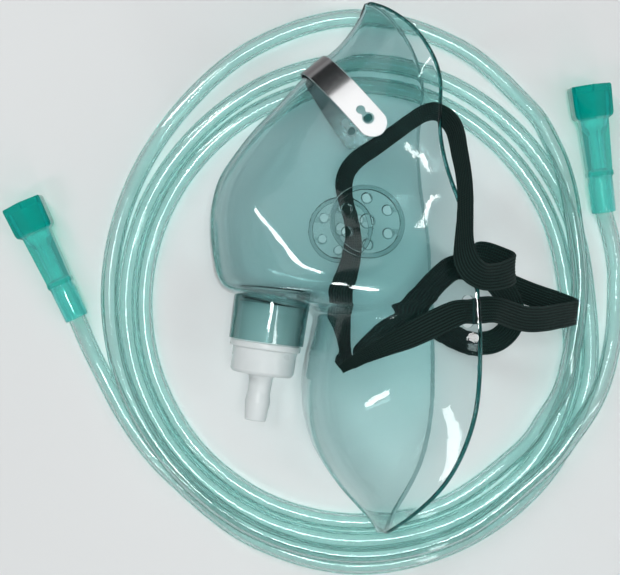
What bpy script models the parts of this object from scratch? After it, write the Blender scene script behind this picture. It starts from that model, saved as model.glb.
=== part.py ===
"""Adult oxygen face mask with its head strap and a coil of supply tubing.

The mask lies on its far cheek inside the coil. Lengths are written in millimetres
and converted to metres when a mesh is made. +Z is up and the surface everything
lies on is z = 0.

The mask has its own frame: a runs from the face side's back (nose, negative) to the
open rim (positive), b runs from the chin (negative) to the nose bridge (positive),
and c runs across the face, with c = 0 on the plane of symmetry.
"""

import math

import bmesh
import bpy
import numpy as np
from mathutils import Matrix, Vector
from mathutils.bvhtree import BVHTree

MM = 0.001

# ---------------------------------------------------------------- driving dimensions
LAYOUT_X, LAYOUT_Y = -9.61, -6.45  # puts the origin under the middle of the mask
MASK_LEAN = math.radians(6.5)  # open side turned a little towards the surface
MASK_Z = 43.27  # height of the plane of symmetry above the surface

WALL = 1.3  # soft shell wall
PORT_TOP = (-12.9, -5.0)  # middle of the port where it leaves the nose box (a, b)
PORT_DIR = (-0.14, -0.99)  # the port points down and a little forward
PORT_LENGTH = 13.2
PORT_R_TOP, PORT_R_END, PORT_BORE_R = 12.75, 12.45, 11.3

VENT_AT = (14.5, 20.8)
VENT_RING_R, VENT_RING_WIRE_R = 11.2, 0.8
VENT_HOLE_PITCH_R, VENT_HOLE_R, VENT_CENTRE_R, VENT_HOLES = 7.4, 1.55, 2.2, 6

SLOT_A, SLOT_B = (43.2, 47.0), (-12.7, -2.3)  # strap slot beside each edge of the rim

CLIP_FOLD = (1.15, 73.7)  # where the clip bends over the nose bridge
CLIP_RUN = (0.626, -0.780)  # the way its legs run
CLIP_LEG, CLIP_WIDTH, CLIP_T, CLIP_GAP = 31.5, 9.6, 0.7, 0.35
CLIP_HOLE_AT, CLIP_HOLE_R, CLIP_PEG_AT, CLIP_SLOT_R = 20.6, 1.9, 24.6, 1.7
PEG_R, PEG_UP = 1.3, 2.4

STRAP_WIDTH, STRAP_T = 8.4, 1.0

TUBE_R = 3.2
COIL_AT = (17.1, -1.6)
COIL_H = 12.4
GAP = 0.35

CONN_LENGTH = 46.0
CONN_BORE_R, CONN_BORE_DEPTH = 3.55, 15.0

# Loft stations of the shell, nose bridge first: the outline on the plane of symmetry
# (a, b), the rim (a, b), the half width there, and how square the section is.
STATIONS = (
    (18.3, 95.2, 20.0, 95.3, 1.9, 2.0),
    (15.5, 88.8, 26.2, 92.4, 5.2, 2.0),
    (10.1, 81.4, 33.6, 85.7, 10.0, 2.0),
    (2.7, 74.9, 38.9, 76.6, 13.5, 2.1),
    (-4.0, 68.4, 41.0, 68.1, 16.0, 2.2),
    (-11.4, 60.3, 40.5, 59.6, 18.0, 2.3),
    (-19.0, 52.3, 40.0, 51.4, 20.0, 2.4),
    (-25.0, 44.6, 40.6, 43.4, 22.5, 2.5),
    (-30.2, 36.6, 41.9, 36.1, 25.5, 2.6),
    (-32.8, 28.2, 43.7, 28.9, 29.0, 2.7),
    (-33.6, 19.0, 46.0, 20.5, 32.6, 2.8),
    (-32.9, 9.8, 47.3, 12.2, 35.5, 2.9),
    (-31.2, 2.6, 47.8, 5.0, 37.2, 3.0),
    (-26.8, -1.8, 48.1, -0.4, 37.9, 3.0),
    (-14.0, -5.0, 48.4, -4.9, 38.0, 2.9),
    (0.2, -8.4, 48.7, -9.4, 38.0, 2.7),
    (0.5, -15.2, 49.0, -15.6, 37.9, 2.6),
    (-1.4, -22.9, 49.1, -22.5, 37.4, 2.5),
    (-2.7, -32.5, 49.0, -31.2, 36.2, 2.4),
    (-2.0, -42.5, 48.4, -39.9, 33.9, 2.3),
    (0.4, -51.5, 46.9, -48.0, 30.6, 2.2),
    (4.9, -59.9, 44.6, -55.6, 27.0, 2.1),
    (10.4, -67.4, 41.3, -62.9, 22.8, 2.1),
    (15.8, -73.4, 36.9, -69.4, 18.0, 2.0),
    (20.1, -78.4, 31.0, -76.1, 11.6, 2.0),
    (22.6, -82.4, 25.6, -82.2, 2.2, 2.0),
)
FINER = {12: 3, 13: 2, 14: 3, 15: 2}  # extra rings round the two edges of the port floor
SPLIT_HIGH, SPLIT_LOW = 16, 36  # loft rows where the shell is divided into solids


# ---------------------------------------------------------------- small helpers
def frame_mask():
    """The mask's own frame in the layout."""
    return Matrix.Translation((0, 0, MASK_Z * MM)) @ Matrix.Rotation(MASK_LEAN, 4, "Y")


def mask_point(a, b, c):
    """A point of the mask's frame, as x, y, z in the layout, in millimetres."""
    p = frame_mask() @ (Vector((a, b, c)) * MM)
    return tuple(p / MM)


def catmull(p0, p1, p2, p3, t):
    t2, t3 = t * t, t * t * t
    return 0.5 * (
        2 * p1
        + (p2 - p0) * t
        + (2 * p0 - 5 * p1 + 4 * p2 - p3) * t2
        + (3 * p1 - p0 - 3 * p2 + p3) * t3
    )


def smooth_through(points, per=4, finer=None):
    """A smooth curve through points (rows of numbers), per steps between neighbours."""
    pts = np.array(points, float)
    first, last = 2 * pts[0] - pts[1], 2 * pts[-1] - pts[-2]
    pts = np.vstack([first, pts, last])
    out = []
    for i in range(len(pts) - 3):
        n = (finer or {}).get(i, per)
        for k in range(n):
            out.append(catmull(*pts[i : i + 4], k / n))
    out.append(pts[-2])
    return np.array(out)


def even_steps(points, n):
    """n points evenly spaced along a polyline."""
    pts = np.array(points, float)
    d = np.linalg.norm(np.diff(pts[:, :3], axis=0), axis=1)
    s = np.concatenate([[0], np.cumsum(d)])
    at = np.linspace(0, s[-1], n)
    return np.stack([np.interp(at, s, pts[:, k]) for k in range(pts.shape[1])], 1)


def material(name, colour, roughness, metallic=0.0, alpha=1.0):
    m = bpy.data.materials.new(name)
    m.use_nodes = True
    p = m.node_tree.nodes["Principled BSDF"]
    p.inputs["Base Color"].default_value = (*colour, 1)
    p.inputs["Roughness"].default_value = roughness
    p.inputs["Metallic"].default_value = metallic
    p.inputs["Alpha"].default_value = alpha
    m.diffuse_color = (*colour, 1)
    return m


def empty(name, parent, matrix):
    e = bpy.data.objects.new(name, None)
    bpy.context.collection.objects.link(e)
    e.parent = parent
    e.matrix_local = matrix
    return e


def mesh_object(name, verts, faces, parent=None, mat=None, smooth=True, angle=35):
    """An object from points in millimetres, with its faces turned outwards."""
    me = bpy.data.meshes.new(name)
    me.from_pydata([tuple(float(x) * MM for x in v) for v in verts], [], faces)
    bm = bmesh.new()
    bm.from_mesh(me)
    bmesh.ops.recalc_face_normals(bm, faces=bm.faces)
    if bm.calc_volume(signed=True) < 0:
        bmesh.ops.reverse_faces(bm, faces=bm.faces)
    bm.to_mesh(me)
    bm.free()
    if smooth:
        me.shade_smooth()
        me.set_sharp_from_angle(angle=math.radians(angle))
    ob = bpy.data.objects.new(name, me)
    bpy.context.collection.objects.link(ob)
    if mat:
        me.materials.append(mat)
    ob.parent = parent
    return ob


def cutter(ob):
    ob.hide_render = True
    ob.display_type = "WIRE"
    return ob


def boolean(ob, other, operation):
    m = ob.modifiers.new(other.name, "BOOLEAN")
    m.operation = operation
    m.solver = "EXACT"
    m.object = other


def turned(profile, sides=32):
    """Points and faces of a closed profile (r, s) turned about the local Z axis."""
    n = len(profile)
    verts, faces = [], []
    for i in range(sides):
        t = 2 * math.pi * i / sides
        verts += [(r * math.cos(t), r * math.sin(t), s) for r, s in profile]
    for i in range(sides):
        j = (i + 1) % sides
        for k in range(n):
            m = (k + 1) % n
            faces.append((i * n + k, j * n + k, j * n + m, i * n + m))
    return verts, faces


def rod(r0, r1, s0, s1, sides=28):
    """Points and faces of a solid round bar along the local Z axis."""
    verts = [
        (r * math.cos(2 * math.pi * i / sides), r * math.sin(2 * math.pi * i / sides), s)
        for r, s in ((r0, s0), (r1, s1))
        for i in range(sides)
    ]
    faces = [tuple(range(sides))[::-1], tuple(range(sides, 2 * sides))]
    faces += [(i, (i + 1) % sides, sides + (i + 1) % sides, sides + i) for i in range(sides)]
    return verts, faces


def moved(shape, matrix):
    """A shape in millimetres, moved by a matrix that is in millimetres too."""
    verts, faces = shape
    return [tuple(matrix @ Vector(v)) for v in verts], faces


def joined(shapes):
    verts, faces = [], []
    for v, f in shapes:
        n = len(verts)
        verts += list(v)
        faces += [tuple(i + n for i in face) for face in f]
    return verts, faces


def axis_matrix(origin, direction):
    """A frame at origin whose Z axis runs along direction."""
    z = Vector(direction).normalized()
    y = Vector((0, 0, 1)) if abs(z.z) < 0.9 else Vector((0, 1, 0))
    x = y.cross(z).normalized()
    y = z.cross(x)
    m = Matrix((x, y, z)).transposed().to_4x4()
    m.translation = Vector(origin)
    return m


# ---------------------------------------------------------------- the shell
def shell_rows():
    return smooth_through(STATIONS, per=2, finer=FINER)


def section(phi, square):
    return math.cos(phi) ** (2 / square), math.sin(phi) ** (2 / square)


def shell_sheets(across=13):
    """The outer and inner faces of the shell, as grids of points."""
    rows = shell_rows()
    line = rows[:, :2]
    tangent = np.gradient(line, axis=0)
    tangent /= np.linalg.norm(tangent, axis=1)[:, None]
    inward = np.stack([-tangent[:, 1], tangent[:, 0]], 1)
    outer, inner = [], []
    for i, (pa, pb, ra, rb, w, square) in enumerate(rows):
        depth = math.hypot(ra - pa, rb - pb)
        th = min(WALL, 0.5 * depth)
        tw = min(WALL, 0.5 * w)
        row_o, row_i = [], []
        for j in range(-across + 1, across):
            s = abs(j) / (across - 1)
            phi = 0.5 * math.pi * (0.5 - 0.5 * math.cos(math.pi * s))
            g, h = section(phi, square)
            if j == 0:
                g, h = 1.0, 0.0
            if abs(j) == across - 1:
                g, h = 0.0, 1.0
            side = 1 if j > 0 else -1
            a, b = ra + (pa - ra) * g, rb + (pb - rb) * g
            row_o.append((a, b, side * w * h))
            k = math.sqrt(g)
            row_i.append(
                (a + inward[i, 0] * th * k, b + inward[i, 1] * th * k, side * (w - tw) * h)
            )
        outer.append(row_o)
        inner.append(row_i)
    return outer, inner


def closed_sheet(outer, inner):
    nu, nt = len(outer), len(outer[0])
    verts = [p for row in outer for p in row] + [p for row in inner for p in row]
    at = lambda side, i, j: side * nu * nt + i * nt + j
    faces = []
    for i in range(nu - 1):
        for j in range(nt - 1):
            faces.append((at(0, i, j), at(0, i + 1, j), at(0, i + 1, j + 1), at(0, i, j + 1)))
            faces.append((at(1, i, j), at(1, i, j + 1), at(1, i + 1, j + 1), at(1, i + 1, j)))
        for j in (0, nt - 1):
            faces.append((at(0, i, j), at(0, i + 1, j), at(1, i + 1, j), at(1, i, j)))
    for i in (0, nu - 1):
        for j in range(nt - 1):
            faces.append((at(0, i, j), at(0, i, j + 1), at(1, i, j + 1), at(1, i, j)))
    return verts, faces


def outer_surface():
    """The near half of the shell's outer face, to be measured along c."""
    outer, _ = shell_sheets(across=33)
    n = len(outer[0])
    verts = [p for row in outer for p in row]
    faces = []
    for i in range(len(outer) - 1):
        for j in range(n // 2, n - 1):
            faces.append((i * n + j, (i + 1) * n + j, (i + 1) * n + j + 1, i * n + j + 1))
    return BVHTree.FromPolygons(verts, faces)


def height(surface, a, b):
    """c of the near outer face at a, b, or None off the shell."""
    hit = surface.ray_cast(Vector((a, b, 80)), Vector((0, 0, -1)))
    return None if hit[0] is None else hit[0].z


def surface_ring(surface, at, radius, wire, side, around=32, sides=6):
    """A thin round bead lying on the cheek, centred at (a, b)."""
    verts, faces = [], []
    for i in range(around):
        t = 2 * math.pi * i / around
        ca, sa = math.cos(t), math.sin(t)
        c = height(surface, at[0] + radius * ca, at[1] + radius * sa)
        for k in range(sides):
            q = 2 * math.pi * k / sides
            r = radius + wire * math.cos(q)
            verts.append(
                (at[0] + r * ca, at[1] + r * sa, side * (c - 0.1 + wire * math.sin(q)))
            )
    for i in range(around):
        j = (i + 1) % around
        for k in range(sides):
            m = (k + 1) % sides
            faces.append((i * sides + k, j * sides + k, j * sides + m, i * sides + m))
    return verts, faces


def block(a0, a1, b0, b1, c0, c1):
    verts = [(a, b, c) for a in (a0, a1) for b in (b0, b1) for c in (c0, c1)]
    faces = [(0, 1, 3, 2), (4, 6, 7, 5), (0, 4, 5, 1), (2, 3, 7, 6), (0, 2, 6, 4), (1, 5, 7, 3)]
    return verts, faces


def clip_point(e, v, c):
    """A point of the clip: e along its leg, v across it."""
    return (
        CLIP_FOLD[0] + CLIP_RUN[0] * e - CLIP_RUN[1] * v,
        CLIP_FOLD[1] + CLIP_RUN[1] * e + CLIP_RUN[0] * v,
        c,
    )


def shell_part(name, outer, inner, first, last, parent, mat):
    """The shell between two rows of its loft, a hair clear of the part before it."""
    o, i = [list(r) for r in outer[first : last + 1]], [list(r) for r in inner[first : last + 1]]
    if first > 0:
        for rows in (o, i):
            rows[0] = [
                tuple(p + (q - p) * 0.01 for p, q in zip(u, v)) for u, v in zip(rows[0], rows[1])
            ]
    return mesh_object(name, *closed_sheet(o, i), parent, mat)


def fitted(shell, adds, cuts, parent):
    if adds:
        plus = mesh_object(shell.name + "_additions", *joined(adds), parent, smooth=False)
        boolean(shell, cutter(plus), "UNION")
    if cuts:
        minus = mesh_object(shell.name + "_cuts", *joined(cuts), parent, smooth=False)
        boolean(shell, cutter(minus), "DIFFERENCE")


def build_shell(parent, mat):
    """The one moulded shell, as three solids that meet along two of its loft rows."""
    surface = outer_surface()
    outer, inner = shell_sheets()
    end = len(outer) - 1
    bridge = shell_part("mask_shell_bridge", outer, inner, 0, SPLIT_HIGH, parent, mat)
    nose = shell_part("mask_shell_nose", outer, inner, SPLIT_HIGH, SPLIT_LOW, parent, mat)
    shell_part("mask_shell_chin", outer, inner, SPLIT_LOW, end, parent, mat)

    port = axis_matrix((*PORT_TOP, 0), (*PORT_DIR, 0))
    adds = [moved(rod(PORT_R_TOP, PORT_R_END, -1.2, PORT_LENGTH, 40), port)]
    cuts = [moved(rod(PORT_BORE_R, PORT_BORE_R, -3.5, PORT_LENGTH + 2, 40), port)]
    pegs = []
    a, b, _ = clip_point(CLIP_PEG_AT, 0, 0)
    c = height(surface, a, b)
    for side in (1, -1):
        up = Matrix.Translation((a, b, 0))
        peg = rod(PEG_R, PEG_R, side * (c - 0.9), side * (c + PEG_UP), 16)
        pegs.append(moved(peg, up))
        adds.append(surface_ring(surface, VENT_AT, VENT_RING_R, VENT_RING_WIRE_R, side))
        for k in range(VENT_HOLES + 1):
            t = math.radians(88 + 60 * k)
            r = 0 if k == VENT_HOLES else VENT_HOLE_PITCH_R
            va, vb = VENT_AT[0] + r * math.cos(t), VENT_AT[1] + r * math.sin(t)
            hole_r = VENT_CENTRE_R if k == VENT_HOLES else VENT_HOLE_R
            hole = rod(hole_r, hole_r, side * 15, side * 45, 12)
            cuts.append(moved(hole, Matrix.Translation((va, vb, 0))))
        cuts.append(block(*SLOT_A, *SLOT_B, side * 30, side * 45))
    fitted(bridge, pegs, [], parent)
    fitted(nose, adds, cuts, parent)
    return surface


# ---------------------------------------------------------------- the nose clip
def clip_outline(surface, steps=15):
    """Half of the clip's side outline (e, c), outwards of the shell."""
    reach = CLIP_WIDTH / 2 + 0.4
    across = [reach * k / 4 for k in range(-4, 5)]

    def top(e):
        c = [height(surface, *clip_point(e, v, 0)[:2]) for v in across]
        return max([x for x in c if x is not None] or [0.0])

    start = -2.0
    while top(start) <= 0.05:
        start += 0.02
    path = [(start, 0.0)]
    for k in range(1, steps + 1):
        s = k / steps
        e = start + (CLIP_LEG - start) * s**1.8
        path.append((e, top(e)))
    out = []
    for i, (e, c) in enumerate(path):
        if i == 0:
            n = (-1.0, 0.0)
        else:
            e0, c0 = path[i - 1]
            e1, c1 = path[min(i + 1, len(path) - 1)]
            d = math.hypot(e1 - e0, c1 - c0)
            n = (-(c1 - c0) / d, (e1 - e0) / d)
        out.append((e, c, *n))
    return out


def build_clip(parent, mat, surface):
    half = clip_outline(surface)
    rows = [(e, -c, n0, -n1) for e, c, n0, n1 in half[:0:-1]] + half
    run = [0.0]
    for i in range(1, len(rows)):
        run.append(run[-1] + math.hypot(rows[i][0] - rows[i - 1][0], rows[i][1] - rows[i - 1][1]))
    total, r = run[-1], CLIP_WIDTH / 2
    fine = []
    for i in range(len(rows) - 1):
        near_end = run[i] < r + 3 or run[i + 1] > total - r - 3
        n = 3 if near_end else 1
        for k in range(n):
            t = k / n
            row = [rows[i][q] * (1 - t) + rows[i + 1][q] * t for q in range(4)]
            fine.append((row, run[i] * (1 - t) + run[i + 1] * t))
    fine.append((list(rows[-1]), total))
    columns = (-1.0, -0.5, 0.0, 0.5, 1.0)
    verts, faces = [], []
    for (e, c, n0, n1), s in fine:
        d = min(s, total - s)
        wide = r if d >= r else math.sqrt(max(r * r - (r - d) ** 2, 1.2))
        for lift in (CLIP_GAP, CLIP_GAP + CLIP_T):
            for v in columns:
                verts.append(clip_point(e + n0 * lift, v * wide, c + n1 * lift))
    k = len(columns)
    ring = list(range(k)) + [k + q for q in range(k)][::-1]
    n = len(fine)
    for i in range(n - 1):
        for q in range(2 * k):
            p, s = ring[q], ring[(q + 1) % (2 * k)]
            faces.append((i * 2 * k + p, i * 2 * k + s, (i + 1) * 2 * k + s, (i + 1) * 2 * k + p))
    for i in (0, n - 1):
        for q in range(k - 1):
            faces.append(tuple(i * 2 * k + x for x in (q, q + 1, k + q + 1, k + q)))
    clip = mesh_object("nose_clip", verts, faces, parent, mat)

    outline = []
    for q in range(13):
        t = math.radians(60 + 240 * q / 12)
        outline.append((CLIP_HOLE_AT + CLIP_HOLE_R * math.cos(t), CLIP_HOLE_R * math.sin(t)))
    for q in range(9):
        t = math.radians(-90 + 180 * q / 8)
        outline.append((CLIP_PEG_AT + CLIP_SLOT_R * math.cos(t), CLIP_SLOT_R * math.sin(t)))
    m = len(outline)
    verts = [clip_point(e, v, c) for c in (-45, 45) for e, v in outline]
    faces = [tuple(range(m)), tuple(range(m, 2 * m))]
    faces += [(q, (q + 1) % m, m + (q + 1) % m, m + q) for q in range(m)]
    keyhole = cutter(mesh_object("clip_keyhole", verts, faces, parent, smooth=False))
    boolean(clip, keyhole, "DIFFERENCE")
    return clip


# ---------------------------------------------------------------- the white inlet connector
def build_inlet(parent, mat):
    profile = (
        (9.4, -9.0),
        (10.6, -9.0),
        (10.95, -8.2),
        (10.95, 0.35),
        (11.85, 0.35),
        (11.85, 2.3),
        (10.75, 2.6),
        (10.6, 9.9),
        (9.8, 10.9),
        (4.4, 11.2),
        (4.0, 12.0),
        (3.75, 17.0),
        (4.15, 20.2),
        (3.6, 26.0),
        (3.3, 26.4),
        (1.7, 26.4),
        (1.7, 10.0),
        (2.2, 9.3),
        (8.9, 9.3),
        (9.4, 8.8),
    )
    ob = mesh_object("inlet_connector", *turned(profile, 36), parent, mat, angle=30)
    end = Vector((*PORT_TOP, 0)) + Vector((*PORT_DIR, 0)).normalized() * PORT_LENGTH
    m = axis_matrix(end, (*PORT_DIR, 0))
    m.translation = m.translation * MM
    ob.matrix_local = m
    return ob


# ---------------------------------------------------------------- the strap
def strap_route():
    """The strap's middle line, from its free end on the near cheek to the far slot."""
    slot_a, slot_b = 0.5 * sum(SLOT_A), 0.5 * sum(SLOT_B)
    on_cheek = [
        (9.6, -25.3, 76.5),
        (16.1, -21.6, 77.6),
        (23.8, -17.9, 78.6),
        (30.8, -14.8, 79.0),
        (37.6, -11.4, 79.0),
    ]
    through = [
        mask_point(slot_a - 5.0, slot_b - 0.8, 39.7),
        mask_point(slot_a - 2.0, slot_b, 39.25),
        mask_point(slot_a + 0.1, slot_b, 37.3),
        mask_point(slot_a + 2.3, slot_b, 35.3),
        mask_point(slot_a + 5.2, slot_b + 0.4, 34.0),
    ]
    right_loop = [
        (58.6, -7.0, 69.0),
        (64.0, -8.6, 63.0),
        (70.0, -10.2, 56.5),
        (76.5, -10.4, 49.5),
        (83.4, -9.7, 41.0),
        (88.9, -9.1, 33.5),
        (92.3, -8.6, 27.0),
        (91.0, -7.4, 21.6),
        (86.2, -5.4, 19.6),
        (80.0, -3.2, 19.4),
        (73.6, -0.8, 20.0),
        (66.8, 1.9, 22.0),
        (60.4, 4.7, 26.0),
        (54.2, 6.5, 31.5),
    ]
    into_mask = [
        (48.1, 6.4, 37.0),
        (42.6, 2.2, 41.5),
        (36.7, -4.2, 44.5),
        (31.2, -9.4, 46.0),
        (24.9, -14.9, 46.2),
        (18.7, -20.3, 45.2),
        (14.0, -24.4, 43.8),
        (11.6, -26.0, 41.0),
        (10.4, -23.4, 38.4),
        (9.6, -18.6, 38.0),
        (8.4, -12.6, 39.0),
        (8.4, -6.6, 41.0),
        (10.4, 0.3, 43.5),
        (13.3, 6.2, 45.5),
        (15.0, 11.8, 46.5),
        (15.3, 17.4, 47.0),
        (13.9, 23.0, 47.5),
        (11.9, 29.0, 48.0),
        (11.1, 34.2, 48.5),
        (12.2, 38.8, 49.0),
        (15.4, 43.1, 49.5),
        (20.5, 46.9, 50.0),
        (26.3, 50.8, 50.6),
        (32.2, 55.0, 51.2),
        (37.4, 58.2, 51.8),
        (41.6, 59.2, 53.0),
    ]
    over_rim = [
        (45.0, 57.9, 56.0),
        (47.1, 54.6, 60.0),
        (48.3, 49.8, 64.5),
        (48.8, 43.5, 68.0),
        (49.1, 36.9, 71.2),
        (49.0, 29.8, 74.4),
        (48.4, 22.5, 77.6),
        (47.6, 15.6, 80.2),
        (47.6, 10.2, 81.6),
        (49.2, 6.0, 81.6),
        (53.0, 3.5, 79.4),
        (57.3, 3.3, 75.4),
        (61.7, 4.2, 70.8),
        (64.9, 5.9, 65.6),
        (63.9, 7.6, 61.0),
        (60.8, 9.2, 58.4),
        (57.2, 10.7, 56.0),
        (54.2, 11.1, 52.8),
        (52.9, 10.5, 48.4),
        (54.8, 8.4, 44.2),
        (58.5, 5.5, 41.0),
        (63.0, 1.9, 38.0),
        (67.3, -2.9, 34.0),
        (70.0, -8.5, 29.0),
        (69.9, -13.4, 24.6),
        (67.2, -17.3, 21.4),
        (63.3, -19.4, 18.6),
        (58.7, -19.6, 15.4),
        (54.2, -18.4, 11.6),
        (50.4, -16.4, 8.0),
        (47.2, -14.4, 5.8),
    ]
    return on_cheek + through + right_loop + into_mask + over_rim


def band_frames(line):
    """Direction and width direction along a band that lies as flat as its folds let it."""
    t = np.gradient(line, axis=0)
    t /= np.linalg.norm(t, axis=1)[:, None]
    flat = np.cross([0, 0, 1.0], t)
    size = np.linalg.norm(flat, axis=1)
    sure = size > 0.45
    wide = np.zeros_like(flat)
    last = None
    for i in np.flatnonzero(sure):
        w = flat[i] / size[i]
        if last is not None and w @ last < 0:
            w = -w
        wide[i] = last = w
    idx = np.flatnonzero(sure)
    for k in range(3):
        wide[:, k] = np.interp(np.arange(len(line)), idx, wide[idx, k])
    for _ in range(10):
        wide[1:-1] = 0.25 * wide[:-2] + 0.5 * wide[1:-1] + 0.25 * wide[2:]
    wide -= t * np.sum(wide * t, axis=1)[:, None]
    wide /= np.linalg.norm(wide, axis=1)[:, None]
    return t, wide


def build_strap(parent, mat, steps=170):
    line = even_steps(smooth_through(strap_route(), per=6), steps)
    t, wide = band_frames(line)
    face = np.cross(t, wide)
    verts, faces = [], []
    for p, w, f in zip(line, wide, face):
        for x, y in ((-0.5, -0.5), (0.5, -0.5), (0.5, 0.5), (-0.5, 0.5)):
            verts.append(p + w * x * STRAP_WIDTH + f * y * STRAP_T)
    for i in range(steps - 1):
        for q in range(4):
            r = (q + 1) % 4
            faces.append((4 * i + q, 4 * i + r, 4 * i + 4 + r, 4 * i + 4 + q))
    faces += [(0, 1, 2, 3), tuple(4 * (steps - 1) + q for q in range(4))]
    return mesh_object("head_strap", verts, faces, parent, mat)


# ---------------------------------------------------------------- the supply tubing
def coil_sides(theta):
    """Inner and outer radius of the coiled turns, theta in degrees round the coil.

    The turns lie close together at the left, wider at the top right, and the fourth
    turn joins on the outside from where the first end runs in."""
    at = (0, 45, 90, 135, 180, 225, 270, 315, 360)
    inner = (72.9, 71.1, 72.1, 72.1, 74.3, 78.7, 80.5, 79.4, 72.9)
    outer = (87.6, 93.8, 102.9, 94.9, 92.6, 97.0, 102.9, 98.9, 87.6)
    r = []
    for table in (inner, outer):
        rows = [(x,) for x in table]
        x = (theta % 360) / 45
        i = int(x)
        p = [rows[(i + k) % 8][0] for k in (-1, 0, 1, 2)]
        r.append(catmull(*p, x - i))
    return r


def coil_point(theta, r, z):
    t = math.radians(theta)
    return (COIL_AT[0] + r * math.cos(t), COIL_AT[1] + r * math.sin(t), z)


def build_coil(parent, mat, around=120):
    """One closed ring of the coil's outer shape."""
    verts, faces = [], []
    side = ((0.0, 0.0), (1.0, 0.0), (1.0, 0.55), (0.8, 1.0), (0.2, 1.0), (0.0, 0.55))
    n = len(side)
    for i in range(around):
        theta = 360 * i / around
        r0, r1 = coil_sides(theta)
        for x, z in side:
            verts.append(coil_point(theta, r0 + (r1 - r0) * x, COIL_H * z))
    for i in range(around):
        j = (i + 1) % around
        for k in range(n):
            m = (k + 1) % n
            faces.append((i * n + k, j * n + k, j * n + m, i * n + m))
    return mesh_object("tube_coil", verts, faces, parent, mat)


def tube(name, route, parent, mat):
    """A free stretch of tube along a smooth route."""
    line = even_steps(smooth_through(route, per=8), max(4, 1 + round(route_length(route) / 12)))
    cu = bpy.data.curves.new(name, "CURVE")
    cu.dimensions = "3D"
    cu.bevel_depth = TUBE_R * MM
    cu.bevel_resolution = 3
    cu.use_fill_caps = True
    sp = cu.splines.new("POLY")
    sp.points.add(len(line) - 1)
    for p, q in zip(sp.points, line):
        p.co = (*(float(x) * MM for x in q), 1)
    cu.materials.append(mat)
    ob = bpy.data.objects.new(name, cu)
    bpy.context.collection.objects.link(ob)
    ob.parent = parent
    return ob


def route_length(route):
    line = smooth_through(route, per=8)
    return float(np.linalg.norm(np.diff(line, axis=0), axis=1).sum())


def connector(name, end, head, parent, mat):
    """A soft tube connector: end is where the tube goes in, head its open mouth."""
    profile = (
        (CONN_BORE_R, 0.0),
        (4.1, 0.0),
        (4.35, 0.6),
        (4.6, 13.0),
        (5.1, 13.4),
        (5.15, 14.6),
        (4.9, 15.2),
        (5.7, 33.6),
        (7.3, 34.6),
        (7.7, 35.8),
        (8.0, 45.2),
        (7.7, CONN_LENGTH),
        (6.2, CONN_LENGTH),
        (5.4, 36.0),
        (4.2, 31.0),
        (2.0, 28.0),
        (2.0, CONN_BORE_DEPTH + 1.0),
        (CONN_BORE_R, CONN_BORE_DEPTH),
    )
    ob = mesh_object(name, *turned(profile, 24), parent, mat, angle=30)
    m = axis_matrix(end, Vector(head) - Vector(end))
    m.translation = m.translation * MM
    ob.matrix_local = m
    return ob


LEFT_END, LEFT_HEAD = (-84.3, -11.1, 5.8), (-103.4, 29.9, 8.2)
RIGHT_END, RIGHT_HEAD = (106.4, 27.1, 5.8), (100.6, 71.4, 8.2)


def inside(end, head, depth):
    """A point depth inside a connector's bore."""
    e, h = Vector(end), Vector(head)
    return tuple(e + (h - e).normalized() * depth)


def build_tubing(parent, clear, green):
    build_coil(parent, clear)
    left = [
        inside(LEFT_END, LEFT_HEAD, CONN_BORE_DEPTH - 1),
        inside(LEFT_END, LEFT_HEAD, 7.0),
        inside(LEFT_END, LEFT_HEAD, 0.0),
        (-81.1, -19.2, 4.7),
        (-77.1, -28.0, 3.6),
    ]
    right = [
        inside(RIGHT_END, RIGHT_HEAD, CONN_BORE_DEPTH - 1),
        inside(RIGHT_END, RIGHT_HEAD, 7.0),
        inside(RIGHT_END, RIGHT_HEAD, 0.0),
        (108.6, 20.0, 4.7),
        (110.4, 12.0, 3.7),
        (111.3, 3.0, 3.2),
    ]
    tube("tube_end_left", left, parent, clear)
    tube("tube_end_right", right, parent, clear)
    connector("tube_connector_left", LEFT_END, LEFT_HEAD, parent, green)
    connector("tube_connector_right", RIGHT_END, RIGHT_HEAD, parent, green)


def main():
    for ob in list(bpy.context.scene.objects):
        bpy.data.objects.remove(ob, do_unlink=True)

    soft_green = material("soft_clear_green", (0.42, 0.66, 0.60), 0.12, alpha=0.45)
    white = material("white_polypropylene", (0.86, 0.87, 0.86), 0.35)
    metal = material("bright_aluminium", (0.90, 0.90, 0.91), 0.12, 1.0)
    elastic = material("dark_green_elastic", (0.012, 0.030, 0.026), 0.85)
    tubing = material("clear_green_tube", (0.50, 0.76, 0.70), 0.10, alpha=0.55)
    teal = material("teal_soft_connector", (0.03, 0.50, 0.42), 0.25, alpha=0.85)

    layout = empty("layout", None, Matrix.Translation((LAYOUT_X * MM, LAYOUT_Y * MM, 0)))
    mask = empty("mask_frame", layout, frame_mask())

    surface = build_shell(mask, soft_green)
    build_clip(mask, metal, surface)
    build_inlet(mask, white)
    build_strap(layout, elastic)
    build_tubing(layout, tubing, teal)


main()
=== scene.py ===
"""Oxygen face mask, head strap and coiled supply tubing, as seen from straight above.

Lengths are written in millimetres and converted to metres when a mesh is made. The
mask has its own frame: a runs from the nose side's back (negative) to the open rim,
b from the chin (negative) to the nose bridge, and c across the face.
"""

import math

import bmesh
import bpy
import numpy as np
from mathutils import Matrix, Quaternion, Vector, noise
from mathutils.bvhtree import BVHTree


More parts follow.
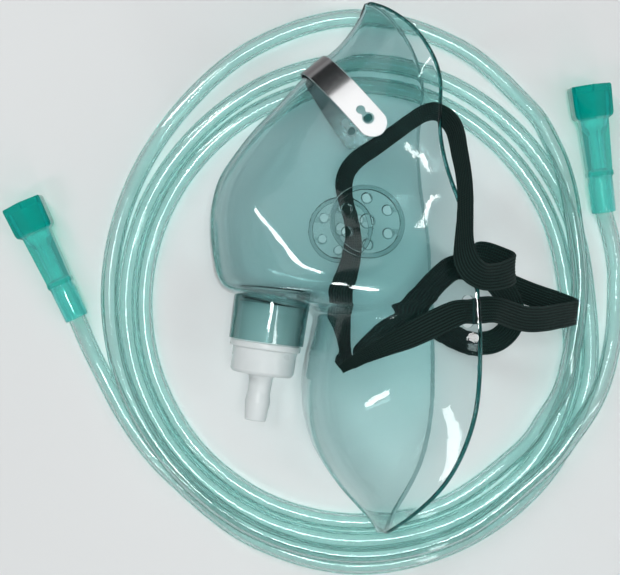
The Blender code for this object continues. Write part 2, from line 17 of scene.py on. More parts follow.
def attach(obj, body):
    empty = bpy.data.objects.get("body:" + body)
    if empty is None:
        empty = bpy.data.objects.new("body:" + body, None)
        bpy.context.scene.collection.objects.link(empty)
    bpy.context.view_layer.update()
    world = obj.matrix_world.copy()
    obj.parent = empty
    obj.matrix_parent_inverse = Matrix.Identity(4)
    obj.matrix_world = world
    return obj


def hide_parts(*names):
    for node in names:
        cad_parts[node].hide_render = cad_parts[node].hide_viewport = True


MM = 0.001
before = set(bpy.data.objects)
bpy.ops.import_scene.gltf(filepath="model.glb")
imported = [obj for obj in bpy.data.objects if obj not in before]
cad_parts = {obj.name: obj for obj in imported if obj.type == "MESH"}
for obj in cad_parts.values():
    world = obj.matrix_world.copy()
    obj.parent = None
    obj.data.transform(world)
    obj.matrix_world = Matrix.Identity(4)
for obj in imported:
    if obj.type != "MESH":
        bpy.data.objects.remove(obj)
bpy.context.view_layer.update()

# ---------------------------------------------------------------- dimensions
LAYOUT_X, LAYOUT_Y = -9.61, -6.45
MASK_LEAN = math.radians(6.5)
MASK_Z = 43.27

WALL = 1.3
RIM_R = 0.78
PORT_TOP = (-12.9, -5.0)
PORT_DIR = (-0.14, -0.99)
PORT_LENGTH = 13.2
PORT_R_TOP, PORT_R_END, PORT_BORE_R = 12.75, 12.45, 11.3

VENT_AT = (14.5, 20.8)
VENT_RING_R, VENT_RING_HALF, VENT_RING_UP = 10.95, 0.85, 0.75
VENT_HOLE_PITCH_R, VENT_HOLE_R, VENT_CENTRE_R, VENT_HOLES = 7.4, 1.5, 2.1, 6
HOLE_LIP = 0.38

SLOT_A, SLOT_B = (43.2, 47.0), (-12.7, -2.3)

CLIP_FOLD = (1.15, 73.7)
CLIP_RUN = (0.626, -0.780)
CLIP_LEG, CLIP_WIDTH, CLIP_T, CLIP_GAP = 31.5, 9.6, 0.7, 0.35
CLIP_HOLE_AT, CLIP_HOLE_R, CLIP_PEG_AT, CLIP_SLOT_R = 21.0, 1.45, 24.6, 1.95
PEG_R, PEG_UP = 1.3, 2.4

STRAP_WIDTH, STRAP_T, STRAP_RIBS = 8.4, 1.0, 9

TUBE_R = 3.2
COIL_AT = (17.1, -1.6)

CONN_LENGTH = 46.0
CONN_BORE_R, CONN_BORE_DEPTH = 3.55, 15.0
LEFT_END, LEFT_HEAD = (-84.3, -11.1, 5.8), (-103.4, 29.9, 8.2)
RIGHT_END, RIGHT_HEAD = (106.4, 27.1, 5.8), (100.6, 71.4, 8.2)

STATIONS = (
    (18.3, 95.2, 20.0, 95.3, 1.9, 2.0),
    (15.5, 88.8, 26.2, 92.4, 5.2, 2.0),
    (10.1, 81.4, 33.6, 85.7, 10.0, 2.0),
    (2.7, 74.9, 38.9, 76.6, 13.5, 2.1),
    (-4.0, 68.4, 41.0, 68.1, 16.0, 2.2),
    (-11.4, 60.3, 40.5, 59.6, 18.0, 2.3),
    (-19.0, 52.3, 40.0, 51.4, 20.0, 2.4),
    (-25.0, 44.6, 40.6, 43.4, 22.5, 2.5),
    (-30.2, 36.6, 41.9, 36.1, 25.5, 2.6),
    (-32.8, 28.2, 43.7, 28.9, 29.0, 2.7),
    (-33.6, 19.0, 46.0, 20.5, 32.6, 2.8),
    (-32.9, 9.8, 47.3, 12.2, 35.5, 2.9),
    (-31.2, 2.6, 47.8, 5.0, 37.2, 3.0),
    (-26.8, -1.8, 48.1, -0.4, 37.9, 3.0),
    (-14.0, -5.0, 48.4, -4.9, 38.0, 2.9),
    (0.2, -8.4, 48.7, -9.4, 38.0, 2.7),
    (0.5, -15.2, 49.0, -15.6, 37.9, 2.6),
    (-1.4, -22.9, 49.1, -22.5, 37.4, 2.5),
    (-2.7, -32.5, 49.0, -31.2, 36.2, 2.4),
    (-2.0, -42.5, 48.4, -39.9, 33.9, 2.3),
    (0.4, -51.5, 46.9, -48.0, 30.6, 2.2),
    (4.9, -59.9, 44.6, -55.6, 27.0, 2.1),
    (10.4, -67.4, 41.3, -62.9, 22.8, 2.1),
    (15.8, -73.4, 36.9, -69.4, 18.0, 2.0),
    (20.1, -78.4, 31.0, -76.1, 11.6, 2.0),
    (22.6, -82.4, 25.6, -82.2, 2.2, 2.0),
)
FINER = {12: 8, 13: 7, 14: 9, 15: 7}


# ---------------------------------------------------------------- geometry helpers
def mask_matrix():
    """From the mask's frame to the row frame, in millimetres."""
    return Matrix.Translation((LAYOUT_X, LAYOUT_Y, MASK_Z)) @ Matrix.Rotation(MASK_LEAN, 4, "Y")


def mask_point(a, b, c):
    """A point of the mask's frame as x, y, z of the layout."""
    p = mask_matrix() @ Vector((a, b, c))
    return (p.x - LAYOUT_X, p.y - LAYOUT_Y, p.z)


def laid(points):
    """Layout points moved into the row frame."""
    return np.array(points, float) + np.array([LAYOUT_X, LAYOUT_Y, 0.0])


def catmull(p0, p1, p2, p3, t):
    t2, t3 = t * t, t * t * t
    return 0.5 * (
        2 * p1
        + (p2 - p0) * t
        + (2 * p0 - 5 * p1 + 4 * p2 - p3) * t2
        + (3 * p1 - p0 - 3 * p2 + p3) * t3
    )


def smooth_through(points, per=4, finer=None):
    pts = np.array(points, float)
    first, last = 2 * pts[0] - pts[1], 2 * pts[-1] - pts[-2]
    pts = np.vstack([first, pts, last])
    out = []
    for i in range(len(pts) - 3):
        n = (finer or {}).get(i, per)
        for k in range(n):
            out.append(catmull(*pts[i : i + 4], k / n))
    out.append(pts[-2])
    return np.array(out)


def even_steps(points, n):
    pts = np.array(points, float)
    d = np.linalg.norm(np.diff(pts[:, :3], axis=0), axis=1)
    s = np.concatenate([[0], np.cumsum(d)])
    at = np.linspace(0, s[-1], n)
    return np.stack([np.interp(at, s, pts[:, k]) for k in range(pts.shape[1])], 1)


def mesh_object(name, verts, faces, matrix=None, smooth=True, angle=35, tidy=True):
    """An object in the row frame from points in millimetres."""
    m = matrix or Matrix.Identity(4)
    me = bpy.data.meshes.new(name)
    me.from_pydata([tuple((m @ Vector(v)) * MM) for v in verts], [], faces)
    if tidy:
        bm = bmesh.new()
        bm.from_mesh(me)
        bmesh.ops.recalc_face_normals(bm, faces=bm.faces)
        if bm.calc_volume(signed=True) < 0:
            bmesh.ops.reverse_faces(bm, faces=bm.faces)
        bm.to_mesh(me)
        bm.free()
    ob = bpy.data.objects.new(name, me)
    bpy.context.scene.collection.objects.link(ob)
    if smooth:
        me.shade_smooth()
        me.set_sharp_from_angle(angle=math.radians(angle))
    return ob


def apply_modifiers(ob):
    dg = bpy.context.evaluated_depsgraph_get()
    me = bpy.data.meshes.new_from_object(ob.evaluated_get(dg))
    old = ob.data
    ob.modifiers.clear()
    ob.data = me
    me.name = old.name
    bpy.data.meshes.remove(old)


def boolean(ob, other, operation, own=False):
    m = ob.modifiers.new(other.name, "BOOLEAN")
    m.operation = operation
    m.solver = "EXACT"
    m.use_self = own
    m.object = other
    apply_modifiers(ob)
    bpy.data.objects.remove(other, do_unlink=True)


def turned(profile, sides=32, shape=None):
    """A closed profile (r, s) turned about the local Z axis. shape(angle, r, s) scales r."""
    n = len(profile)
    verts, faces = [], []
    for i in range(sides):
        t = 2 * math.pi * i / sides
        for r, s in profile:
            q = r * (shape(t, r, s) if shape else 1.0)
            verts.append((q * math.cos(t), q * math.sin(t), s))
    for i in range(sides):
        j = (i + 1) % sides
        for k in range(n):
            m = (k + 1) % n
            faces.append((i * n + k, j * n + k, j * n + m, i * n + m))
    return verts, faces


def rod(r0, r1, s0, s1, sides=28):
    verts = [
        (r * math.cos(2 * math.pi * i / sides), r * math.sin(2 * math.pi * i / sides), s)
        for r, s in ((r0, s0), (r1, s1))
        for i in range(sides)
    ]
    faces = [tuple(range(sides))[::-1], tuple(range(sides, 2 * sides))]
    faces += [(i, (i + 1) % sides, sides + (i + 1) % sides, sides + i) for i in range(sides)]
    return verts, faces


def moved(shape, matrix):
    verts, faces = shape
    return [tuple(matrix @ Vector(v)) for v in verts], faces


def joined(shapes):
    verts, faces = [], []
    for v, f in shapes:
        n = len(verts)
        verts += list(v)
        faces += [tuple(i + n for i in face) for face in f]
    return verts, faces


def axis_matrix(origin, direction):
    z = Vector(direction).normalized()
    y = Vector((0, 0, 1)) if abs(z.z) < 0.9 else Vector((0, 1, 0))
    x = y.cross(z).normalized()
    y = z.cross(x)
    m = Matrix((x, y, z)).transposed().to_4x4()
    m.translation = Vector(origin)
    return m


def rounded(profile, radius, steps=3, closed=True):
    """The same profile with each corner rounded by up to radius."""
    pts = [Vector((p[0], p[1])) for p in profile]
    n = len(pts)
    out = []
    for i in range(n):
        a, b, c = pts[i - 1], pts[i], pts[(i + 1) % n]
        u, v = (a - b), (c - b)
        lu, lv = u.length, v.length
        cut = min(radius, 0.42 * lu, 0.42 * lv)
        p, q = b + u / lu * cut, b + v / lv * cut
        for k in range(steps + 1):
            t = k / steps
            out.append(tuple((1 - t) ** 2 * p + 2 * t * (1 - t) * b + t * t * q))
    return out


# ---------------------------------------------------------------- node helpers
class Nodes:
    """A short way to write a material's node tree."""

    def __init__(self, name):
        self.mat = bpy.data.materials.new(name)
        self.mat.use_nodes = True
        self.tree = self.mat.node_tree
        self.tree.nodes.clear()
        self.out = self.add("ShaderNodeOutputMaterial")

    def add(self, kind, **values):
        n = self.tree.nodes.new(kind)
        for k, v in values.items():
            setattr(n, k, v)
        return n

    def link(self, a, b):
        self.tree.links.new(a, b)

    def coords(self, scale=(1, 1, 1), uv=False):
        c = self.add("ShaderNodeTexCoord")
        m = self.add("ShaderNodeMapping")
        m.inputs["Scale"].default_value = scale
        self.link(c.outputs["UV" if uv else "Object"], m.inputs["Vector"])
        return m.outputs["Vector"]

    def noise(self, vector, scale, detail=3.0, rough=0.55, distortion=0.0):
        n = self.add("ShaderNodeTexNoise")
        n.inputs["Scale"].default_value = scale
        n.inputs["Detail"].default_value = detail
        n.inputs["Roughness"].default_value = rough
        n.inputs["Distortion"].default_value = distortion
        self.link(vector, n.inputs["Vector"])
        return n.outputs["Fac"]

    def span(self, value, lo, hi, from_lo=0.3, from_hi=0.7):
        m = self.add("ShaderNodeMapRange")
        m.inputs["From Min"].default_value = from_lo
        m.inputs["From Max"].default_value = from_hi
        m.inputs["To Min"].default_value = lo
        m.inputs["To Max"].default_value = hi
        self.link(value, m.inputs["Value"])
        return m.outputs["Result"]

    def mix(self, fac, a, b):
        m = self.add("ShaderNodeMix", data_type="RGBA")
        self.link(fac, m.inputs["Factor"])
        m.inputs[6].default_value = (*a, 1)
        m.inputs[7].default_value = (*b, 1)
        return m.outputs[2]

    def onto(self, fac, under, over):
        m = self.add("ShaderNodeMix", data_type="RGBA")
        self.link(fac, m.inputs["Factor"])
        self.link(under, m.inputs[6])
        m.inputs[7].default_value = (*over, 1)
        return m.outputs[2]

    def bump(self, height, strength, distance, normal=None):
        b = self.add("ShaderNodeBump")
        b.inputs["Strength"].default_value = strength
        b.inputs["Distance"].default_value = distance
        self.link(height, b.inputs["Height"])
        if normal is not None:
            self.link(normal, b.inputs["Normal"])
        return b.outputs["Normal"]

    def principled(self, **values):
        p = self.add("ShaderNodeBsdfPrincipled")
        for k, v in values.items():
            p.inputs[k.replace("_", " ")].default_value = v
        return p


def clear_plastic(
    name,
    base_a,
    base_b,
    absorb,
    density,
    rough,
    waviness,
    ior=1.45,
    clear=1.0,
    shade=(0.8, 0.9, 0.88),
    edge=None,
    painted_light_fade=None,
    wave_scale=22.0,
):
    """Soft clear plastic: glass-like, tinted by its thickness, a little wavy and uneven.

    edge is the colour where the mesh's own "tint" is 1: painted shade on the shell's rims and vent rings, deeper
    colour on thick parts. fade is a colour and the two heights along Y between which the plain colour changes to it:
    painted light, lighter towards +Y.
    """
    n = Nodes(name)
    v = n.coords()
    broad = n.noise(v, wave_scale, 2.0)
    fine = n.noise(v, 160.0, 4.0)
    p = n.principled(IOR=ior)
    p.inputs["Transmission Weight"].default_value = clear
    colour = n.mix(n.span(broad, 0.0, 1.0), base_a, base_b)
    # Painted light: the plain colour gets lighter towards +Y, between two heights.
    if painted_light_fade:
        parts = n.add("ShaderNodeSeparateXYZ")
        n.link(v, parts.inputs[0])
        colour = n.onto(n.span(parts.outputs["Y"], 0.0, 1.0, painted_light_fade[1], painted_light_fade[2]), colour, painted_light_fade[0])
    if edge:
        own = n.add("ShaderNodeAttribute", attribute_type="GEOMETRY", attribute_name="tint")
        colour = n.onto(own.outputs["Fac"], colour, edge)
    n.link(colour, p.inputs["Base Color"])
    n.link(n.span(fine, rough[0], rough[1]), p.inputs["Roughness"])
    normal = n.bump(broad, 0.5, waviness)
    normal = n.bump(fine, 0.25, waviness * 0.12, normal)
    n.link(normal, p.inputs["Normal"])
    light = n.add("ShaderNodeLightPath")
    through = n.add("ShaderNodeBsdfTransparent")
    through.inputs["Color"].default_value = (*shade, 1)
    mix = n.add("ShaderNodeMixShader")
    n.link(light.outputs["Is Shadow Ray"], mix.inputs[0])
    n.link(p.outputs[0], mix.inputs[1])
    n.link(through.outputs[0], mix.inputs[2])
    n.link(mix.outputs[0], n.out.inputs["Surface"])
    depth = n.add("ShaderNodeVolumeAbsorption")
    depth.inputs["Color"].default_value = (*absorb, 1)
    depth.inputs["Density"].default_value = density
    n.link(depth.outputs[0], n.out.inputs["Volume"])
    return n.mat


def moulded_plastic(name, a, b, rough, scale=90.0, bump=0.00006, sub=0.0):
    n = Nodes(name)
    v = n.coords()
    broad = n.noise(v, scale, 3.0)
    fine = n.noise(v, 1400.0, 3.0)
    p = n.principled(IOR=1.49)
    n.link(n.mix(n.span(broad, 0.0, 1.0), a, b), p.inputs["Base Color"])
    n.link(n.span(broad, rough[0], rough[1]), p.inputs["Roughness"])
    normal = n.bump(broad, 0.4, bump * 3)
    n.link(n.bump(fine, 0.35, bump, normal), p.inputs["Normal"])
    if sub:
        p.inputs["Subsurface Weight"].default_value = sub
        p.inputs["Subsurface Radius"].default_value = (0.004, 0.004, 0.0035)
    n.link(p.outputs[0], n.out.inputs["Surface"])
    return n.mat


def bright_metal(name):
    n = Nodes(name)
    along = n.noise(n.coords((60, 60, 60)), 90.0, 4.0, 0.65)
    broad = n.noise(n.coords(), 60.0, 2.0)
    p = n.principled(Metallic=1.0)
    bright = n.mix(n.span(broad, 0.0, 1.0), (0.88, 0.89, 0.90), (0.95, 0.95, 0.95))
    own = n.add("ShaderNodeAttribute", attribute_type="GEOMETRY", attribute_name="tint")
    # Painted shade: darker colour where the mesh's "tint" is 1, near the clip's fold.
    n.link(n.onto(own.outputs["Fac"], bright, (0.17, 0.155, 0.16)), p.inputs["Base Color"])
    n.link(n.span(along, 0.10, 0.22), p.inputs["Roughness"])
    n.link(n.bump(along, 0.25, 0.00001), p.inputs["Normal"])
    n.link(p.outputs[0], n.out.inputs["Surface"])
    return n.mat


def ribbed_elastic(name):
    """Woven elastic: fine cross threads between the ribs, with a faint fuzz and painted highlights on the rib tops.
    """
    n = Nodes(name)
    uv = n.coords(uv=True)
    picks = n.add("ShaderNodeTexWave", wave_type="BANDS", bands_direction="Y", wave_profile="SIN")
    picks.inputs["Scale"].default_value = 380.0
    picks.inputs["Distortion"].default_value = 1.4
    picks.inputs["Detail"].default_value = 2.0
    picks.inputs["Detail Scale"].default_value = 3.0
    n.link(uv, picks.inputs["Vector"])
    v = n.coords()
    fuzz = n.noise(v, 2600.0, 3.0)
    broad = n.noise(v, 70.0, 3.0)
    p = n.principled(IOR=1.5)
    p.inputs["Specular IOR Level"].default_value = 0.20
    p.inputs["Sheen Weight"].default_value = 0.03
    p.inputs["Sheen Roughness"].default_value = 0.5
    p.inputs["Sheen Tint"].default_value = (0.5, 0.75, 0.7, 1)
    colour = n.add("ShaderNodeMix", data_type="RGBA")
    n.link(n.span(fuzz, 0.0, 0.55, 0.35, 0.75), colour.inputs["Factor"])
    own = n.add("ShaderNodeTexCoord")
    parts = n.add("ShaderNodeSeparateXYZ")
    n.link(own.outputs["UV"], parts.inputs[0])
    turn = n.add("ShaderNodeMath", operation="MULTIPLY")
    turn.inputs[1].default_value = 2 * math.pi * STRAP_RIBS / (STRAP_WIDTH * MM)
    n.link(parts.outputs["X"], turn.inputs[0])
    rib = n.add("ShaderNodeMath", operation="COSINE")
    n.link(turn.outputs[0], rib.inputs[0])
    ground = n.mix(n.span(broad, 0.0, 1.0), (0.0008, 0.0052, 0.0045), (0.0016, 0.0080, 0.0070))
    # Painted highlight: the rib tops are lighter than the grooves between them.
    n.link(n.onto(n.span(rib.outputs[0], 0.0, 1.0, -0.1, 1.0), ground, (0.0060, 0.0230, 0.0200)), colour.inputs[6])
    colour.inputs[7].default_value = (0.005, 0.022, 0.018, 1)
    n.link(colour.outputs[2], p.inputs["Base Color"])
    n.link(n.span(fuzz, 0.62, 0.85), p.inputs["Roughness"])
    normal = n.bump(picks.outputs["Fac"], 0.7, 0.00012)
    n.link(n.bump(fuzz, 0.5, 0.00008, normal), p.inputs["Normal"])
    n.link(p.outputs[0], n.out.inputs["Surface"])
    return n.mat


# ---------------------------------------------------------------- the shell
def section(phi, square):
    return math.cos(phi) ** (2 / square), math.sin(phi) ** (2 / square)


def shell_sheets(rows, across):
    line = rows[:, :2]
    tangent = np.gradient(line, axis=0)
    tangent /= np.linalg.norm(tangent, axis=1)[:, None]
    inward = np.stack([-tangent[:, 1], tangent[:, 0]], 1)
    outer, inner = [], []
    for i, (pa, pb, ra, rb, w, square) in enumerate(rows):
        depth = math.hypot(ra - pa, rb - pb)
        wall = WALL - 0.55 * min(1.0, max(0.0, (-pb - 8.0) / 30.0)) - 0.18 * min(1.0, max(0.0, (-pb - 42.0) / 30.0))
        th = min(wall, 0.5 * depth)
        tw = min(wall, 0.5 * w)
        row_o, row_i = [], []
        for j in range(-across + 1, across):
            s = abs(j) / (across - 1)
            phi = 0.5 * math.pi * (0.5 - 0.5 * math.cos(math.pi * s))
            g, h = section(phi, square)
            if j == 0:
                g, h = 1.0, 0.0
            if abs(j) == across - 1:
                g, h = 0.0, 1.0
            side = 1 if j > 0 else -1
            a, b = ra + (pa - ra) * g, rb + (pb - rb) * g
            row_o.append((a, b, side * w * h))
            k = math.sqrt(g)
            row_i.append((a + inward[i, 0] * th * k, b + inward[i, 1] * th * k, side * (w - tw) * h))
        outer.append(row_o)
        inner.append(row_i)
    return outer, inner


def closed_sheet(outer, inner):
    nu, nt = len(outer), len(outer[0])
    verts = [p for row in outer for p in row] + [p for row in inner for p in row]
    at = lambda side, i, j: side * nu * nt + i * nt + j
    faces = []
    for i in range(nu - 1):
        for j in range(nt - 1):
            faces.append((at(0, i, j), at(0, i + 1, j), at(0, i + 1, j + 1), at(0, i, j + 1)))
            faces.append((at(1, i, j), at(1, i, j + 1), at(1, i + 1, j + 1), at(1, i + 1, j)))
        for j in (0, nt - 1):
            faces.append((at(0, i, j), at(0, i + 1, j), at(1, i + 1, j), at(1, i, j)))
    for i in (0, nu - 1):
        for j in range(nt - 1):
            faces.append((at(0, i, j), at(0, i, j + 1), at(1, i, j + 1), at(1, i, j)))
    return verts, faces


def surface_of(outer):
    n = len(outer[0])
    verts = [p for row in outer for p in row]
    faces = []
    for i in range(len(outer) - 1):
        for j in range(n // 2, n - 1):
            faces.append((i * n + j, (i + 1) * n + j, (i + 1) * n + j + 1, i * n + j + 1))
    return BVHTree.FromPolygons(verts, faces)


def height(surface, a, b):
    hit = surface.ray_cast(Vector((a, b, 80)), Vector((0, 0, -1)))
    return None if hit[0] is None else hit[0].z


def surface_ring(surface, at, profile, side, around=72):
    """A closed band lying on the cheek: profile is (offset of radius, lift) pairs."""
    verts, faces = [], []
    n = len(profile)
    for i in range(around):
        t = 2 * math.pi * i / around
        ca, sa = math.cos(t), math.sin(t)
        for r, up in profile:
            c = height(surface, at[0] + r * ca, at[1] + r * sa)
            verts.append((at[0] + r * ca, at[1] + r * sa, side * (c + up)))
    for i in range(around):
        j = (i + 1) % around
        for k in range(n):
            m = (k + 1) % n
            faces.append((i * n + k, j * n + k, j * n + m, i * n + m))
    return verts, faces


def block(a0, a1, b0, b1, c0, c1):
    verts = [(a, b, c) for a in (a0, a1) for b in (b0, b1) for c in (c0, c1)]
    faces = [(0, 1, 3, 2), (4, 6, 7, 5), (0, 4, 5, 1), (2, 3, 7, 6), (0, 2, 6, 4), (1, 5, 7, 3)]
    return verts, faces


def slot_cutter(c0, c1):
    """A slot with round ends."""
    am, r = 0.5 * sum(SLOT_A), 0.5 * (SLOT_A[1] - SLOT_A[0])
    outline = []
    for end, turn in ((SLOT_B[1] - r, 0), (SLOT_B[0] + r, 180)):
        for q in range(9):
            t = math.radians(turn + 180 * q / 8)
            outline.append((am + r * math.cos(t), end + r * math.sin(t)))
    m = len(outline)
    verts = [(a, b, c) for c in (c0, c1) for a, b in outline]
    faces = [tuple(range(m)), tuple(range(m, 2 * m))]
    faces += [(q, (q + 1) % m, m + (q + 1) % m, m + q) for q in range(m)]
    return verts, faces


def swept(line, radius, sides=10, closed=False, caps=True, ups=None):
    """A round bar along a line."""
    line = np.array(line, float)
    n = len(line)
    if closed:
        t = np.roll(line, -1, 0) - np.roll(line, 1, 0)
    else:
        t = np.gradient(line, axis=0)
    t /= np.linalg.norm(t, axis=1)[:, None]
    up = np.array([0.0, 0.0, 1.0])
    verts, faces = [], []
    u = np.cross(t[0], up)
    if np.linalg.norm(u) < 0.1:
        u = np.cross(t[0], [1.0, 0, 0])
    u /= np.linalg.norm(u)
    for i in range(n):
        u = u - t[i] * (u @ t[i])
        u /= np.linalg.norm(u)
        v = np.cross(t[i], u)
        for k in range(sides):
            q = 2 * math.pi * k / sides
            verts.append(line[i] + radius * (math.cos(q) * u + math.sin(q) * v))
    m = n if closed else n - 1
    for i in range(m):
        j = (i + 1) % n
        for k in range(sides):
            l = (k + 1) % sides
            faces.append((i * sides + k, i * sides + l, j * sides + l, j * sides + k))
    if not closed and caps:
        faces.append(tuple(range(sides))[::-1])
        faces.append(tuple((n - 1) * sides + k for k in range(sides)))
    return verts, faces


def clip_point(e, v, c):
    return (
        CLIP_FOLD[0] + CLIP_RUN[0] * e - CLIP_RUN[1] * v,
        CLIP_FOLD[1] + CLIP_RUN[1] * e + CLIP_RUN[0] * v,
        c,
    )


def build_shell(mat):
    rows = smooth_through(STATIONS, per=5, finer=FINER)
    across = 26
    outer, inner = shell_sheets(rows, across)
    surface = surface_of(outer)
    m = mask_matrix()
    shell = mesh_object("mask_soft_shell", *closed_sheet(outer, inner), m)

    # the rolled edge of the rim
    edge_a = [0.5 * (np.array(o[0]) + np.array(i[0])) for o, i in zip(outer, inner)]
    edge_b = [0.5 * (np.array(o[-1]) + np.array(i[-1])) for o, i in zip(outer, inner)]
    loop = even_steps(edge_a + edge_b[::-1] + [edge_a[0]], 301)[:-1]
    for _ in range(2):
        loop = 0.25 * np.roll(loop, 1, 0) + 0.5 * loop + 0.25 * np.roll(loop, -1, 0)
    boolean(shell, mesh_object("rim_bead", *swept(loop, RIM_R, 10, closed=True), m), "UNION")

    port = axis_matrix((*PORT_TOP, 0), (*PORT_DIR, 0))
    tube = [
        (PORT_BORE_R - 0.6, -1.2),
        (PORT_R_TOP, -1.2),
        (PORT_R_TOP - 0.05, 4.0),
        (PORT_R_END, PORT_LENGTH - 0.5),
        (PORT_R_END - 0.35, PORT_LENGTH),
        (PORT_BORE_R - 0.6, PORT_LENGTH),
    ]
    adds = [moved(rod(PORT_R_TOP, PORT_R_END, -1.2, PORT_LENGTH, 72), port)]
    cuts = [moved(rod(PORT_BORE_R, PORT_BORE_R, -3.5, PORT_LENGTH + 2, 72), port)]
    a, b, _ = clip_point(CLIP_PEG_AT, 0, 0)
    c = height(surface, a, b)
    band = [
        (VENT_RING_R - VENT_RING_HALF, -0.45),
        (VENT_RING_R - VENT_RING_HALF, 0.30),
        (VENT_RING_R - VENT_RING_HALF + 0.22, VENT_RING_UP),
        (VENT_RING_R + VENT_RING_HALF - 0.22, VENT_RING_UP),
        (VENT_RING_R + VENT_RING_HALF, 0.30),
        (VENT_RING_R + VENT_RING_HALF, -0.45),
    ]
    for side in (1, -1):
        up = Matrix.Translation((a, b, 0))
        for r0, r1, s0, s1 in ((PEG_R, PEG_R * 0.96, -0.9, PEG_UP - 0.9), (PEG_R * 1.12, PEG_R * 0.9, PEG_UP - 0.9, PEG_UP)):
            if s0 < 0:
                adds.append(moved(rod(r0, r1, side * (c + s0), side * (c + PEG_UP), 28), up))
        adds.append(surface_ring(surface, VENT_AT, band, side))
        for k in range(VENT_HOLES + 1):
            t = math.radians(88 + 60 * k)
            r = 0 if k == VENT_HOLES else VENT_HOLE_PITCH_R
            va, vb = VENT_AT[0] + r * math.cos(t), VENT_AT[1] + r * math.sin(t)
            hole_r = VENT_CENTRE_R if k == VENT_HOLES else VENT_HOLE_R
            lip = [(hole_r - 0.4, -0.4), (hole_r - 0.4, 0.2), (hole_r + HOLE_LIP - 0.1, 0.2), (hole_r + HOLE_LIP, 0.1), (hole_r + HOLE_LIP, -0.4)]
            adds.append(surface_ring(surface, (va, vb), lip, side, 24))
            hole = rod(hole_r, hole_r, side * 15, side * 45, 24)
            cuts.append(moved(hole, Matrix.Translation((va, vb, 0))))
        cuts.append(slot_cutter(side * 30, side * 45))
    boolean(shell, mesh_object("shell_adds", *joined(adds), m, smooth=False), "UNION")
    boolean(shell, mesh_object("shell_cuts", *joined(cuts), m, smooth=False), "DIFFERENCE")
    me = shell.data
    bm = bmesh.new()
    bm.from_mesh(me)
    bmesh.ops.dissolve_degenerate(bm, dist=0.00001, edges=bm.edges)
    bm.to_mesh(me)
    bm.free()
    me.shade_smooth()
    me.set_sharp_from_angle(angle=math.radians(38))
    me.materials.clear()
    me.materials.append(mat)
    paint_shell_shade_and_depth(me, loop, port, (a, b))
    return shell, surface


def paint_shell_shade_and_depth(me, loop, port, peg):
    """How deep the colour is painted on each face: full on the near rim, less on rings, pegs and port. On the rims,
    the vent ring and the hole lips this is painted shade for their dark edge lines, full on the near-side rim and
    0.3 on the far-side rim; the pegs and the port are simply given a deeper colour.
    """
    n = len(me.vertices)
    co = np.zeros(3 * n, np.float32)
    me.vertices.foreach_get("co", co)
    back = np.array(mask_matrix().inverted())
    pts = co.reshape(-1, 3).astype(float) / MM @ back[:3, :3].T + back[:3, 3]
    far = np.full(n, 99.0)
    for k in range(0, n, 2000):
        far[k : k + 2000] = np.sqrt(((pts[k : k + 2000, None] - loop[None]) ** 2).sum(2)).min(1)
    # Painted shade: the near-side rim gets the full dark colour, the far-side rim only 0.3 of it.
    tint = (far < RIM_R + 0.12) * np.where(pts[:, 2] > 0, 1.0, 0.3)
    # Painted shade on the vent ring and the hole lips, for their dark edge lines.
    r = np.hypot(pts[:, 0] - VENT_AT[0], pts[:, 1] - VENT_AT[1])
    ring = np.abs(r - VENT_RING_R) < VENT_RING_HALF + 0.03
    tint = np.maximum(tint, 0.42 * ring)
    for k in range(VENT_HOLES + 1):
        t = math.radians(88 + 60 * k)
        q = 0 if k == VENT_HOLES else VENT_HOLE_PITCH_R
        hole_r = VENT_CENTRE_R if k == VENT_HOLES else VENT_HOLE_R
        r = np.hypot(pts[:, 0] - VENT_AT[0] - q * math.cos(t), pts[:, 1] - VENT_AT[1] - q * math.sin(t))
        tint = np.maximum(tint, 0.5 * ((r > hole_r - 0.04) & (r < hole_r + HOLE_LIP + 0.04)))
    r = np.hypot(pts[:, 0] - peg[0], pts[:, 1] - peg[1])
    tint = np.maximum(tint, 0.9 * (r < PEG_R * 1.15))
    local = np.array(port.inverted())
    q = pts @ local[:3, :3].T + local[:3, 3]
    by_face = []
    for f in me.polygons:
        x, y, z = np.mean(q[list(f.vertices)], axis=0)
        near = q[list(f.vertices)]
        on = z > 0.4 and np.all(np.hypot(near[:, 0], near[:, 1]) < PORT_R_TOP + 0.2) and near[:, 2].max() > 3.0
        by_face.append(max(min(tint[v] for v in f.vertices), 0.50 if on else 0.0))
    layer = me.attributes.new("tint", "FLOAT", "FACE")
    layer.data.foreach_set("value", np.array(by_face, np.float32))


# ---------------------------------------------------------------- the nose clip
def clip_outline(surface, steps=36):
    reach = CLIP_WIDTH / 2 + 0.4
    across = [reach * k / 4 for k in range(-4, 5)]

    def top(e):
        c = [height(surface, *clip_point(e, v, 0)[:2]) for v in across]
        return max([x for x in c if x is not None] or [0.0])

    start = -2.0
    while top(start) <= 0.05:
        start += 0.02
    path = [(start, 0.0)]
    for k in range(1, steps + 1):
        s = k / steps
        e = start + (CLIP_LEG - start) * s**1.8
        path.append((e, top(e)))
    for _ in range(3):
        for i in range(2, len(path) - 1):
            e = 0.25 * path[i - 1][0] + 0.5 * path[i][0] + 0.25 * path[i + 1][0]
            c = 0.25 * path[i - 1][1] + 0.5 * path[i][1] + 0.25 * path[i + 1][1]
            path[i] = (e, max(c, path[i][1]))
    out = []
    for i, (e, c) in enumerate(path):
        if i == 0:
            nrm = (-1.0, 0.0)
        else:
            e0, c0 = path[i - 1]
            e1, c1 = path[min(i + 1, len(path) - 1)]
            d = math.hypot(e1 - e0, c1 - c0)
            nrm = (-(c1 - c0) / d, (e1 - e0) / d)
        out.append((e, c, *nrm))
    return out


